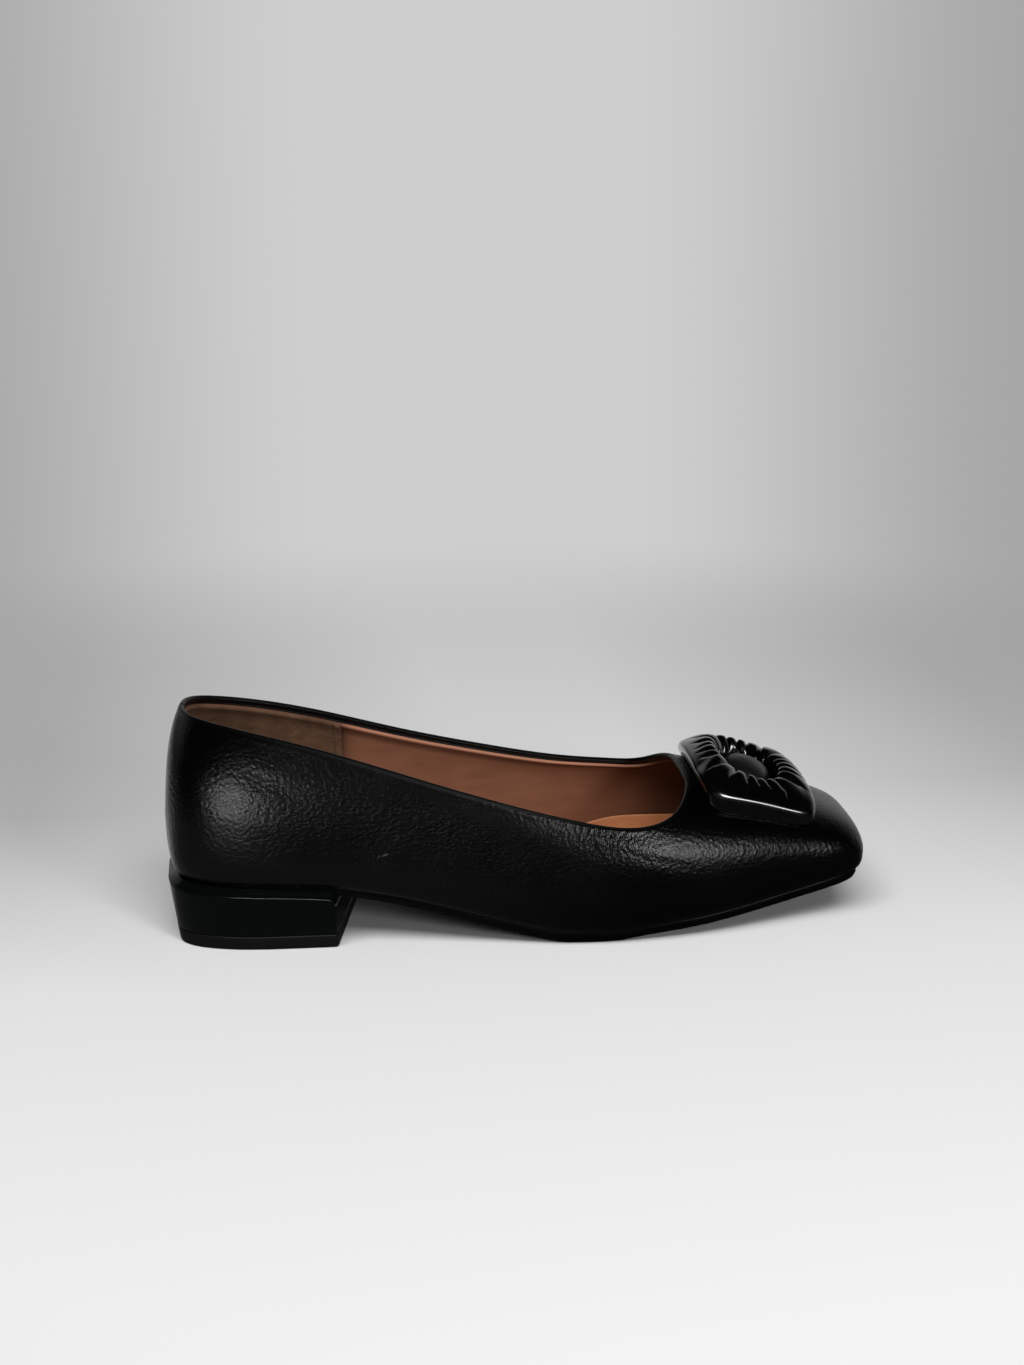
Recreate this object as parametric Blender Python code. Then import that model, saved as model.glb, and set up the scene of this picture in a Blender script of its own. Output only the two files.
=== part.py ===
# Square-toe ballet flat, the right shoe of a pair: a hollow leather upper on a thin arched sole,
# a low block heel, and a gathered square ornament with an oval button on the vamp.
# Metres, +X to the toe, +Y to the wearer's left (the inner side of this shoe), +Z up, floor at Z = 0.
# The origin is the middle of the heel's bottom face.
import bmesh
import bpy
import numpy as np

MM = 0.001

# Driving sizes, millimetres.
LENGTH = 250.0          # back of the upper to the front of the toe
BALL_WIDTH = 79.0       # across the ball of the foot
INSTEP = 75.0           # last height over the sole, a little behind the ball
BACK_HEIGHT = 83.0      # floor to the collar at the back
SEAT_HEIGHT = 21.4      # floor to the underside of the sole at the seat
TOE_SPRING = 15.0       # floor to the underside of the sole at the toe
WALL = 1.8              # upper with its lining
UNDER_SQUARE = 2.6      # roundness of the wall's turn under its widest line
MARGIN = 5.0            # lasting margin turned in under the last
GLUE = 0.1              # bond line between glued pieces
HEEL_CENTRE = 30.0      # origin, from the back of the upper

# Sole and heel.
SOLE_STEP = 0.5         # lower layer of the sole stands in by this
SOLE_STEP_HEIGHT = 1.0  # height of that lower layer
INSOLE_THICK = 2.0
INSOLE_CLEAR = 0.8      # insole edge from the lining, and its step from the lasting margin
LIFT_HEIGHT = 5.2
RIM_CLEAR = 0.4         # heel cup rim round the sole's seat
RIM_WIDTH = 0.9
RIM_LOW = 0.5           # rim under the top of the sole
SHOULDER_LOW = 2.6      # heel's upper outer edge under the top of the sole
EDGE_ROUND = 0.6
BREAST_AT = 58.0        # breast line at the outer edge of the heel, from the back
BREAST_SIDE = -29.0     # that outer edge, from the middle line
BREAST_SKEW = 0.21      # the breast runs forward by this for each unit inwards

# Ornament.
PAD_CENTRE = (209.3, -1.5)
PAD_HALF = (21.7, 25.0)
PAD_TAPER = 0.10        # the pad narrows to the toe by this share at each end
PAD_SQUARENESS = 7.0
PAD_LEAN = 0.10         # the inner side stands taller by this share, the outer side lower
HOLE_HALF = (10.0, 13.2)
PLEATS = 28
PLEAT_HEIGHT = 0.9
BUTTON_HALF = (8.0, 10.6)
CLEAR = 0.3             # pad and button over the vamp

# Facets: columns along each side, rows of the wall, columns of the heel's side, of pad and button.
COLUMNS = 42
WALL_ROWS = 8
UNDER_ROWS = 6
HEEL_COLUMNS = 16
BUTTON_COLUMNS = 32

# Last sections. station: share of length. outer, inner, ridge: half widths and the offset of the
# ridge, shares of the ball width. widest, crown: heights over the sole, shares of the instep.
# square: roundness of the section, 2 is an ellipse.
SECTIONS = (
    # station, outer, inner, ridge, widest, crown, square
    (0.0000, 0.101, 0.101, 0.000, 0.287, 0.287, 2.20),
    (0.0040, 0.184, 0.180, 0.000, 0.287, 0.474, 2.10),
    (0.0160, 0.256, 0.248, 0.000, 0.282, 0.682, 2.00),
    (0.0440, 0.324, 0.311, 0.000, 0.271, 0.851, 2.00),
    (0.0960, 0.375, 0.357, 0.000, 0.257, 0.951, 2.00),
    (0.1800, 0.397, 0.370, 0.000, 0.229, 1.042, 2.05),
    (0.3000, 0.413, 0.357, 0.006, 0.213, 1.066, 2.15),
    (0.4400, 0.456, 0.370, 0.019, 0.226, 0.993, 2.20),
    (0.5600, 0.501, 0.428, 0.025, 0.236, 0.843, 2.25),
    (0.6520, 0.514, 0.484, 0.025, 0.217, 0.724, 2.30),
    (0.7400, 0.489, 0.501, 0.025, 0.169, 0.604, 2.40),
    (0.8320, 0.430, 0.471, 0.025, 0.130, 0.486, 2.50),
    (0.9120, 0.372, 0.415, 0.025, 0.099, 0.355, 2.60),
    (0.9640, 0.332, 0.370, 0.025, 0.080, 0.257, 2.70),
    (0.9900, 0.278, 0.322, 0.025, 0.070, 0.186, 2.70),
    (0.9984, 0.209, 0.256, 0.025, 0.067, 0.119, 2.70),
    (1.0000, 0.120, 0.171, 0.025, 0.067, 0.067, 2.70),
)

# Underside of the sole. heel, spring: shares of the seat height and of the toe spring.
# thick: sole thickness. tuck_outer, tuck_inner: how far the wall turns in under its widest line.
SOLE_LINE = (
    # station, heel, spring, thick, tuck_outer, tuck_inner
    (0.000, 1.047, 0.000, 3.0, 4.5, 4.5),
    (0.120, 1.000, 0.000, 3.0, 4.5, 4.5),
    (0.240, 0.905, 0.000, 3.0, 4.5, 5.0),
    (0.360, 0.610, 0.000, 3.1, 4.6, 7.0),
    (0.460, 0.280, 0.000, 3.3, 5.4, 8.0),
    (0.520, 0.085, 0.000, 3.5, 6.3, 7.6),
    (0.556, -0.012, 0.000, 3.6, 6.6, 7.2),
    (0.588, -0.035, 0.000, 3.6, 6.6, 6.8),
    (0.618, 0.000, -0.012, 3.6, 6.7, 6.4),
    (0.660, 0.000, 0.095, 3.6, 6.6, 6.0),
    (0.740, 0.000, 0.255, 3.6, 5.4, 5.2),
    (0.840, 0.000, 0.500, 3.6, 4.4, 4.4),
    (0.940, 0.000, 0.805, 3.6, 3.4, 3.4),
    (1.000, 0.000, 1.000, 3.6, 2.6, 2.6),
)

# Collar line seen from the side: shares of the length and of the back height, each side.
COLLAR = (
    # station, outer, inner
    (0.0256, 1.000, 1.000),
    (0.0400, 0.995, 0.988),
    (0.0960, 0.967, 0.946),
    (0.2120, 0.880, 0.861),
    (0.3400, 0.754, 0.753),
    (0.4600, 0.639, 0.663),
    (0.5800, 0.542, 0.584),
    (0.6600, 0.513, 0.548),
    (0.7120, 0.552, 0.545),
    (0.7390, 0.620, 0.620),
)

# Columns of the wall, closer together round the back and the toe. column: share of the columns
# of one side. collar, outline: where that column meets the collar and the widest line below it.
COLUMN_PLACES = (
    # column, collar, outline
    (0.00, 0.000, 0.000),
    (0.12, 0.115, 0.090),
    (0.40, 0.480, 0.410),
    (0.62, 0.790, 0.710),
    (0.74, 0.900, 0.848),
    (0.86, 0.960, 0.930),
    (1.00, 1.000, 1.000),
)

# How far the sole stands out from the upper's lower edge.
SOLE_OUT = (
    # station, out
    (0.00, 0.0),
    (0.24, 0.0),
    (0.32, 0.8),
    (0.60, 1.0),
    (0.90, 0.8),
    (1.00, 0.4),
)

# Heel sides, stood in from the widest line. side, back: at the sides and at the back.
HEEL_PROFILE = {
    # level: side, back
    "floor": (5.4, 3.0),
    "lift": (4.6, 2.4),
    "edge": (0.3, 0.0),
    "shoulder": (0.9, 0.6),
}

# Pad section from the hole to the outer edge. way: 0 at the hole, 1 at the edge. height over the
# vamp. gather: share of the pleats' height.
PAD_PROFILE = (
    # way, height, gather
    (0.03, 0.00, 0.0),
    (0.00, 2.80, 0.4),
    (0.05, 5.40, 0.8),
    (0.18, 7.50, 1.0),
    (0.38, 8.80, 0.9),
    (0.60, 8.90, 0.6),
    (0.80, 7.90, 0.2),
    (0.93, 6.20, 0.0),
    (1.00, 3.80, 0.0),
    (0.98, 1.50, 0.0),
    (0.93, 0.00, 0.0),
    (0.64, 0.00, 0.0),
    (0.34, 0.00, 0.0),
)

# Button section from its foot to its top. share: of its half sizes. height over the vamp.
BUTTON_PROFILE = (
    # share, height
    (0.00, 0.0),
    (0.94, 0.0),
    (1.00, 3.2),
    (0.96, 4.8),
    (0.80, 6.3),
    (0.50, 7.3),
    (0.22, 7.8),
    (0.00, 7.9),
)


def column(table, index):
    return np.array([row[index] for row in table], float)


def spline(knots, values, at):
    # Natural cubic curve through the values at the knots.
    knots = np.asarray(knots, float)
    values = np.asarray(values, float)
    step = np.diff(knots)
    slope = np.diff(values) / step
    count = len(knots)
    matrix = np.eye(count)
    right = np.zeros(count)
    for i in range(1, count - 1):
        matrix[i, i - 1:i + 2] = step[i - 1], 2.0 * (step[i - 1] + step[i]), step[i]
        right[i] = 6.0 * (slope[i] - slope[i - 1])
    bend = np.linalg.solve(matrix, right)
    at = np.asarray(at, float)
    i = np.clip(np.searchsorted(knots, at) - 1, 0, count - 2)
    after = knots[i + 1] - at
    before = at - knots[i]
    return ((bend[i] * after ** 3 + bend[i + 1] * before ** 3) / (6.0 * step[i])
            + (values[i] / step[i] - bend[i] * step[i] / 6.0) * after
            + (values[i + 1] / step[i] - bend[i + 1] * step[i] / 6.0) * before)


STATIONS = column(SOLE_LINE, 0) * LENGTH


def sole_bottom(x):
    # Underside of the sole: seat, waist, flat tread at floor level, toe spring.
    rise = column(SOLE_LINE, 1) * SEAT_HEIGHT + column(SOLE_LINE, 2) * TOE_SPRING
    return np.maximum(spline(STATIONS, rise, x), 0.0)


def sole_top(x):
    return sole_bottom(x) + spline(STATIONS, column(SOLE_LINE, 3), x)


def feather(x):
    # Lower edge of the upper, on the sole.
    return sole_top(x) + GLUE


def tuck(x, side):
    return spline(STATIONS, column(SOLE_LINE, 4 if side < 0 else 5), x)


# Section table in millimetres, read along a run parameter that follows the last's own surface.
SECTION = {
    "x": column(SECTIONS, 0) * LENGTH,
    "outer": column(SECTIONS, 1) * BALL_WIDTH,
    "inner": column(SECTIONS, 2) * BALL_WIDTH,
    "ridge": column(SECTIONS, 3) * BALL_WIDTH,
    "square": column(SECTIONS, 6),
}
SECTION["widest"] = column(SECTIONS, 4) * INSTEP + feather(SECTION["x"])
SECTION["crown"] = column(SECTIONS, 5) * INSTEP + feather(SECTION["x"])
LEAPS = [np.diff(SECTION[name]) for name in ("x", "outer", "crown")]
RUN = np.concatenate([[0.0], np.cumsum(np.linalg.norm(LEAPS, axis=0) ** 0.5)])
RUN /= RUN[-1]
FINE_RUN = np.linspace(0.0, 1.0, 2001)


def section(name, run):
    return spline(RUN, SECTION[name], run)


def run_at(x):
    return np.interp(x, section("x", FINE_RUN), FINE_RUN)


def side_edge(run, side):
    return -section("outer", run) if side < 0 else section("inner", run)


def last_point(run, turn, side):
    # Point of the last over its widest line. turn: 0 on that line, a quarter turn on the ridge.
    power = 2.0 / section("square", run)
    across = np.clip(np.cos(turn), 0.0, 1.0) ** power
    over = np.clip(np.sin(turn), 0.0, 1.0) ** power
    ridge = section("ridge", run)
    widest = section("widest", run)
    y = ridge + (side_edge(run, side) - ridge) * across
    z = widest + (section("crown", run) - widest) * over
    return np.stack([section("x", run), y, z], -1)


def vamp(x, y):
    # Height of the last at a place seen from above.
    run = run_at(x)
    ridge = section("ridge", run)
    edge = np.where(y < ridge, -section("outer", run), section("inner", run))
    square = section("square", run)
    across = np.clip((y - ridge) / (edge - ridge), 0.0, 1.0)
    widest = section("widest", run)
    over = (1.0 - across ** square) ** (1.0 / square)
    return widest + (section("crown", run) - widest) * over


def along(points):
    # Share of the way along a line of points.
    way = np.concatenate([[0.0], np.cumsum(np.linalg.norm(np.diff(points, axis=0), axis=1))])
    return way / way[-1]


def widest_domain(side):
    # Widest line from the middle of the back, along one side, to the middle of the toe.
    quarter = np.linspace(np.pi / 2.0, 0.0, 60)
    run = np.concatenate([np.zeros(60), np.linspace(0.0, 1.0, 900), np.ones(60)])
    turn = np.concatenate([quarter, np.zeros(900), quarter[::-1]])
    way = along(last_point(run, turn, side))
    keep = np.concatenate([[True], np.diff(way) > 0.0])
    return run[keep], turn[keep], way[keep]


def collar_domain(side):
    # Collar line from the middle of the back to the throat, on the last's surface.
    x = column(COLLAR, 0) * LENGTH
    z = column(COLLAR, 1 if side < 0 else 2) * BACK_HEIGHT
    knots = along(np.stack([x, column(COLLAR, 1) * BACK_HEIGHT], -1))
    fine = np.linspace(0.0, 1.0, 400)
    run = run_at(spline(knots, x, fine))
    widest = section("widest", run)
    share = np.clip((spline(knots, z, fine) - widest) / (section("crown", run) - widest), 0.0, 1.0)
    turn = np.arcsin(share ** (section("square", run) / 2.0))
    turn[0] = np.pi / 2.0
    turn[-1] = np.pi / 2.0
    return run, turn, along(last_point(run, turn, side))


COLUMN_RUN = np.linspace(0.0, 1.0, COLUMNS + 1)
COLLAR_SHARES = spline(column(COLUMN_PLACES, 0), column(COLUMN_PLACES, 1), COLUMN_RUN)
OUTLINE_SHARES = spline(column(COLUMN_PLACES, 0), column(COLUMN_PLACES, 2), COLUMN_RUN)


def outline(side, shares):
    # Places on the widest line with the plan direction into the shoe.
    run, turn, way = widest_domain(side)
    line = last_point(run, turn, side)
    tangent = np.gradient(line[:, :2], way, axis=0)
    inward = np.stack([-tangent[:, 1], tangent[:, 0]], -1) * -side
    inward = np.stack([np.interp(shares, way, inward[:, k]) for k in (0, 1)], -1)
    inward /= np.linalg.norm(inward, axis=1)[:, None]
    return np.stack([np.interp(shares, way, line[:, k]) for k in (0, 1, 2)], -1), inward


def closed(outer, inner):
    # One ring of columns: back, outer side, toe, inner side.
    return np.concatenate([outer, inner[-2:0:-1]])


def ring(stand_in, height):
    # Ring of the plan outline, stood in by a function of place and side, at a height over x.
    halves = []
    for side in (-1, 1):
        line, inward = outline(side, OUTLINE_SHARES)
        plan = line[:, :2] + inward * stand_in(line[:, 0], side)[:, None]
        halves.append(np.column_stack([plan, height(plan[:, 0])]))
    return closed(*halves)


def upper_side(side):
    # Rows of one side of the upper from the collar down, under and in along the lasting margin.
    run_w, turn_w, way_w = widest_domain(side)
    run_c, turn_c, way_c = collar_domain(side)
    run_low = np.interp(OUTLINE_SHARES, way_w, run_w)
    turn_low = np.interp(OUTLINE_SHARES, way_w, turn_w)
    run_top = np.interp(COLLAR_SHARES, way_c, run_c)
    turn_top = np.interp(COLLAR_SHARES, way_c, turn_c)
    rows = []
    for k in range(WALL_ROWS + 1):
        share = k / WALL_ROWS
        run = run_top + (run_low - run_top) * share
        turn = turn_top + (turn_low - turn_top) * share
        rows.append(last_point(run, turn, side))
    line, inward = outline(side, OUTLINE_SHARES)
    rows[-1] = line
    depth = tuck(line[:, 0], side)
    foot = feather(line[:, 0] + inward[:, 0] * depth)
    power = 2.0 / UNDER_SQUARE
    for k in range(1, UNDER_ROWS + 1):
        turn = 0.5 * np.pi * k / UNDER_ROWS
        stand = depth * (1.0 - max(np.cos(turn), 0.0) ** power)
        z = line[:, 2] - (line[:, 2] - foot) * np.sin(turn) ** power
        rows.append(np.column_stack([line[:, :2] + inward * stand[:, None], z]))
    for k in (1, 2):
        plan = line[:, :2] + inward * (depth + 0.5 * MARGIN * k)[:, None]
        rows.append(np.column_stack([plan, feather(plan[:, 0])]))
    return np.array(rows)


def upper_rows():
    # Outer wall, then the inner wall one wall's thickness in, joined over a rounded collar edge.
    outer_side = upper_side(-1)
    inner_side = upper_side(1)
    wall = np.array([closed(a, b) for a, b in zip(outer_side, inner_side)])
    around = np.roll(wall, -1, axis=1) - np.roll(wall, 1, axis=1)
    down = np.gradient(wall, axis=0)
    normal = np.cross(around, down)
    normal /= np.linalg.norm(normal, axis=2)[:, :, None]
    lining = wall + normal * WALL
    rise = wall[0] - wall[1]
    rise /= np.linalg.norm(rise, axis=1)[:, None]
    edge = 0.5 * (wall[0] + lining[0]) + rise * 0.3 * WALL
    return np.concatenate([lining[::-1], edge[None], wall])


def heel_row(level, height):
    # One row around the heel from the breast's outer corner, round the back, to its inner corner.
    stand_side, stand_back = level
    halves = []
    for side in (-1, 1):
        line, inward = outline(side, np.linspace(0.0, 0.5, 400))
        stand = stand_back + (stand_side - stand_back) * inward[:, 1] ** 2
        plan = line[:, :2] + inward * stand[:, None]
        ahead = plan[:, 0] - BREAST_AT - BREAST_SKEW * (plan[:, 1] - BREAST_SIDE)
        way = along(plan)
        end = np.interp(0.0, ahead, way)
        shares = np.linspace(0.0, end, HEEL_COLUMNS + 1)
        halves.append(np.stack([np.interp(shares, way, plan[:, k]) for k in (0, 1)], -1))
    plan = np.concatenate([halves[0][::-1], halves[1][1:]])
    return np.column_stack([plan, height(plan[:, 0])])


def wrap(rows, count, faces, turn_rows=False):
    # Quads between neighbouring rows of a closed ring of columns.
    total = rows if turn_rows else rows - 1
    for r in range(total):
        low = r * count
        high = (r + 1) % rows * count
        for c in range(count):
            n = (c + 1) % count
            faces.append((low + c, low + n, high + n, high + c))


def ladder_ring(start, count, faces):
    # Flat cap across a closed ring, from each column to the one across from it.
    half = count // 2
    faces.append((start, start + 1, start + count - 1))
    for j in range(1, half - 1):
        faces.append((start + j, start + j + 1, start + count - j - 1, start + count - j))
    faces.append((start + half - 1, start + half, start + half + 1))


def ladder_row(start, count, faces):
    # Flat cap across a heel row.
    last = count - 1
    for j in range(count // 2 - 1):
        faces.append((start + j, start + j + 1, start + last - j - 1, start + last - j))
    middle = start + count // 2
    faces.append((middle - 1, middle, middle + 1))


def finish(name, points, faces, colour, roughness):
    # Solid in metres about the origin, faces turned outwards, one material of its own.
    points = (np.asarray(points).reshape(-1, 3) - (HEEL_CENTRE, 0.0, 0.0)) * MM
    mesh = bpy.data.meshes.new(name)
    build = bmesh.new()
    corners = [build.verts.new(point) for point in points]
    for face in faces:
        build.faces.new([corners[i] for i in face])
    bmesh.ops.recalc_face_normals(build, faces=build.faces)
    bmesh.ops.triangulate(build, faces=build.faces)
    build.to_mesh(mesh)
    build.free()
    material = bpy.data.materials.new(name)
    material.use_nodes = True
    shader = material.node_tree.nodes["Principled BSDF"]
    shader.inputs["Base Color"].default_value = (*colour, 1.0)
    shader.inputs["Roughness"].default_value = roughness
    mesh.materials.append(material)
    bpy.context.collection.objects.link(bpy.data.objects.new(name, mesh))


def make_upper():
    rows = upper_rows()
    faces = []
    wrap(len(rows), rows.shape[1], faces, turn_rows=True)
    finish("upper", rows, faces, (0.012, 0.012, 0.013), 0.42)


def sole_out(x):
    return np.interp(x / LENGTH, column(SOLE_OUT, 0), column(SOLE_OUT, 1))


def make_outsole():
    # Top edge, side down to the step, the step, and the lower layer to the tread.
    def stand_in(x, side):
        return tuck(x, side) - sole_out(x)

    def stepped(x, side):
        return stand_in(x, side) + SOLE_STEP

    rows = np.array([
        ring(stand_in, sole_top),
        ring(stand_in, lambda x: sole_bottom(x) + SOLE_STEP_HEIGHT),
        ring(stepped, lambda x: sole_bottom(x) + SOLE_STEP_HEIGHT),
        ring(stepped, sole_bottom),
    ])
    count = rows.shape[1]
    faces = []
    wrap(len(rows), count, faces)
    ladder_ring(0, count, faces)
    ladder_ring(3 * count, count, faces)
    finish("outsole", rows, faces, (0.010, 0.010, 0.011), 0.5)


def make_insole():
    # Board over the lasting margin, with a step below that fills the space inside the margin.
    def board(x, side):
        return tuck(x, side) + INSOLE_CLEAR

    def step(x, side):
        return tuck(x, side) + MARGIN + INSOLE_CLEAR

    def seat(x):
        return feather(x) + WALL + GLUE

    rows = np.array([
        ring(board, lambda x: seat(x) + INSOLE_THICK),
        ring(board, seat),
        ring(step, seat),
        ring(step, lambda x: feather(x) + GLUE),
    ])
    count = rows.shape[1]
    faces = []
    wrap(len(rows), count, faces)
    ladder_ring(0, count, faces)
    ladder_ring(3 * count, count, faces)
    finish("insole", rows, faces, (0.60, 0.33, 0.18), 0.55)


def make_heel_block():
    # Tapered sides, bevelled shoulder up to a rim round the sole's seat, cup floor under the seat.
    rim_in = SOLE_LINE[0][4] - RIM_CLEAR
    rim_out = rim_in - RIM_WIDTH
    rows = np.array([
        heel_row(HEEL_PROFILE["lift"], lambda x: np.full(len(x), LIFT_HEIGHT)),
        heel_row(HEEL_PROFILE["edge"], lambda x: sole_top(x) - SHOULDER_LOW - EDGE_ROUND),
        heel_row(HEEL_PROFILE["shoulder"], lambda x: sole_top(x) - SHOULDER_LOW),
        heel_row((rim_out, rim_out), lambda x: sole_top(x) - RIM_LOW),
        heel_row((rim_in, rim_in), lambda x: sole_top(x) - RIM_LOW),
        heel_row((rim_in, rim_in), lambda x: sole_bottom(x) - GLUE),
    ])
    count = rows.shape[1]
    last = len(rows) - 1
    faces = []
    for r in range(last):
        for c in range(count - 1):
            low = r * count + c
            faces.append((low, low + 1, low + 1 + count, low + count))
    ladder_row(0, count, faces)
    ladder_row(last * count, count, faces)
    top_outer = last * count
    top_inner = last * count + count - 1
    faces.append((0, count - 1, top_inner, top_outer))
    for r in range(last - 1):
        faces.append((top_outer, r * count, (r + 1) * count))
        faces.append((top_inner, r * count + count - 1, (r + 2) * count - 1))
    finish("heel_block", rows, faces, (0.009, 0.009, 0.010), 0.3)


def make_heel_top_lift():
    foot_side, foot_back = HEEL_PROFILE["floor"]
    rows = np.array([
        heel_row((foot_side + EDGE_ROUND, foot_back + EDGE_ROUND), lambda x: np.zeros(len(x))),
        heel_row((foot_side, foot_back), lambda x: np.full(len(x), EDGE_ROUND)),
        heel_row(HEEL_PROFILE["lift"], lambda x: np.full(len(x), LIFT_HEIGHT)),
    ])
    count = rows.shape[1]
    faces = []
    for r in range(2):
        for c in range(count - 1):
            low = r * count + c
            faces.append((low, low + 1, low + 1 + count, low + count))
        faces.append((r * count, r * count + count - 1, (r + 2) * count - 1, (r + 1) * count))
    ladder_row(0, count, faces)
    ladder_row(2 * count, count, faces)
    finish("heel_top_lift", rows, faces, (0.020, 0.020, 0.021), 0.6)


def on_vamp(plan, height):
    return np.column_stack([plan, vamp(plan[:, 0], plan[:, 1]) + CLEAR + height])


def make_ornament_frame():
    # Ring from the oval hole to a rounded square edge, puffed and gathered by radial pleats.
    count = PLEATS * 4
    angle = 2.0 * np.pi * np.arange(count) / count
    cos, sin = np.cos(angle), np.sin(angle)
    reach = (np.abs(cos) ** PAD_SQUARENESS + np.abs(sin) ** PAD_SQUARENESS) ** (-1.0 / PAD_SQUARENESS)
    narrow = 1.0 - PAD_TAPER * reach * cos
    edge = np.stack([PAD_HALF[0] * reach * cos, PAD_HALF[1] * reach * sin * narrow], -1)
    hole = np.stack([HOLE_HALF[0] * cos, HOLE_HALF[1] * sin], -1)
    pleat = PLEAT_HEIGHT * np.cos(PLEATS * angle)
    rows = []
    for way, height, gather in PAD_PROFILE:
        plan = hole + (edge - hole) * way
        lean = 1.0 + PAD_LEAN * plan[:, 1] / PAD_HALF[1]
        rows.append(on_vamp(plan + np.array(PAD_CENTRE), height * lean + gather * pleat))
    faces = []
    wrap(len(rows), count, faces, turn_rows=True)
    finish("ornament_frame", rows, faces, (0.008, 0.008, 0.009), 0.12)


def make_ornament_button():
    angle = 2.0 * np.pi * np.arange(BUTTON_COLUMNS) / BUTTON_COLUMNS
    oval = np.stack([BUTTON_HALF[0] * np.cos(angle), BUTTON_HALF[1] * np.sin(angle)], -1)
    centre = np.array(PAD_CENTRE)
    rows = [on_vamp(oval * share + centre, height) for share, height in BUTTON_PROFILE[1:-1]]
    foot = on_vamp(centre[None], BUTTON_PROFILE[0][1])
    top = on_vamp(centre[None], BUTTON_PROFILE[-1][1])
    faces = []
    wrap(len(rows), BUTTON_COLUMNS, faces)
    total = len(rows) * BUTTON_COLUMNS
    high = total - BUTTON_COLUMNS
    for c in range(BUTTON_COLUMNS):
        n = (c + 1) % BUTTON_COLUMNS
        faces.append((total, c, n))
        faces.append((total + 1, high + c, high + n))
    finish("ornament_button", np.concatenate(rows + [foot, top]), faces, (0.014, 0.014, 0.015), 0.35)


for thing in list(bpy.data.objects):
    bpy.data.objects.remove(thing, do_unlink=True)
make_heel_top_lift()
make_heel_block()
make_outsole()
make_insole()
make_upper()
make_ornament_frame()
make_ornament_button()
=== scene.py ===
import bpy
import numpy as np
from mathutils import Matrix


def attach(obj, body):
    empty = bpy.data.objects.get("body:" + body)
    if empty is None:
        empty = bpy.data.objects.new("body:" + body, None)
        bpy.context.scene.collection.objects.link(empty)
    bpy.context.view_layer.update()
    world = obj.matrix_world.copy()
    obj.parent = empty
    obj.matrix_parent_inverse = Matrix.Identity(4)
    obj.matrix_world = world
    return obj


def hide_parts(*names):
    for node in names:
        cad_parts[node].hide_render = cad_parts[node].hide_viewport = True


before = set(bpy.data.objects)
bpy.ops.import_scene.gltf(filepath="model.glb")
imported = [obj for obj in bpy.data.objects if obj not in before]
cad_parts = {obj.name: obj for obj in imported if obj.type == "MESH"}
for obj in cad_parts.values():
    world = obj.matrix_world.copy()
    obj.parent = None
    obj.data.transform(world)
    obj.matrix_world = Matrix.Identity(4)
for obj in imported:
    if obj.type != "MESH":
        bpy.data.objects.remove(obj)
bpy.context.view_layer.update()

# Sizes of the last in millimetres. x runs from the back of the upper to the toe, y to the inner side.
last = {
    "length": 250.0,
    "ballWidth": 79.0,
    "instep": 75.0,
    "backHeight": 83.0,
    "seatHeight": 21.4,
    "toeSpring": 15.0,
    "treadRound": 0.4,    # how softly the sole's curve runs into the flat tread
    "wall": 1.8,          # leather and lining together
    "underSquare": 2.6,   # roundness of the turn under the widest line
    "margin": 5.0,        # lasting margin under the sock
    "glue": 0.1,
    "heelCentre": 30.0,   # origin of the part, from the back
}

# Points worked out along the fine lines of the last.
lineSteps = {"run": 4001, "end": 120, "side": 1800, "topline": 1600}

# Cross sections: station, outer, inner, ridge, widest, crown, square.
sections = np.array([
    (0.0000, 0.101, 0.101, 0.000, 0.287, 0.287, 2.20),
    (0.0040, 0.184, 0.180, 0.000, 0.287, 0.474, 2.10),
    (0.0160, 0.256, 0.248, 0.000, 0.282, 0.682, 2.00),
    (0.0440, 0.324, 0.311, 0.000, 0.271, 0.851, 2.00),
    (0.0960, 0.375, 0.357, 0.000, 0.257, 0.951, 2.00),
    (0.1800, 0.397, 0.370, 0.000, 0.229, 1.042, 2.05),
    (0.3000, 0.413, 0.357, 0.006, 0.213, 1.066, 2.15),
    (0.4400, 0.456, 0.370, 0.019, 0.226, 0.993, 2.20),
    (0.5600, 0.501, 0.428, 0.025, 0.236, 0.843, 2.25),
    (0.6520, 0.514, 0.484, 0.025, 0.217, 0.724, 2.30),
    (0.7400, 0.489, 0.501, 0.025, 0.169, 0.604, 2.40),
    (0.8320, 0.430, 0.471, 0.025, 0.130, 0.486, 2.50),
    (0.9120, 0.372, 0.415, 0.025, 0.099, 0.355, 2.60),
    (0.9640, 0.332, 0.370, 0.025, 0.080, 0.257, 2.70),
    (0.9900, 0.278, 0.322, 0.025, 0.070, 0.186, 2.70),
    (0.9984, 0.209, 0.256, 0.025, 0.067, 0.119, 2.70),
    (1.0000, 0.120, 0.171, 0.025, 0.067, 0.067, 2.70),
])

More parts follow.
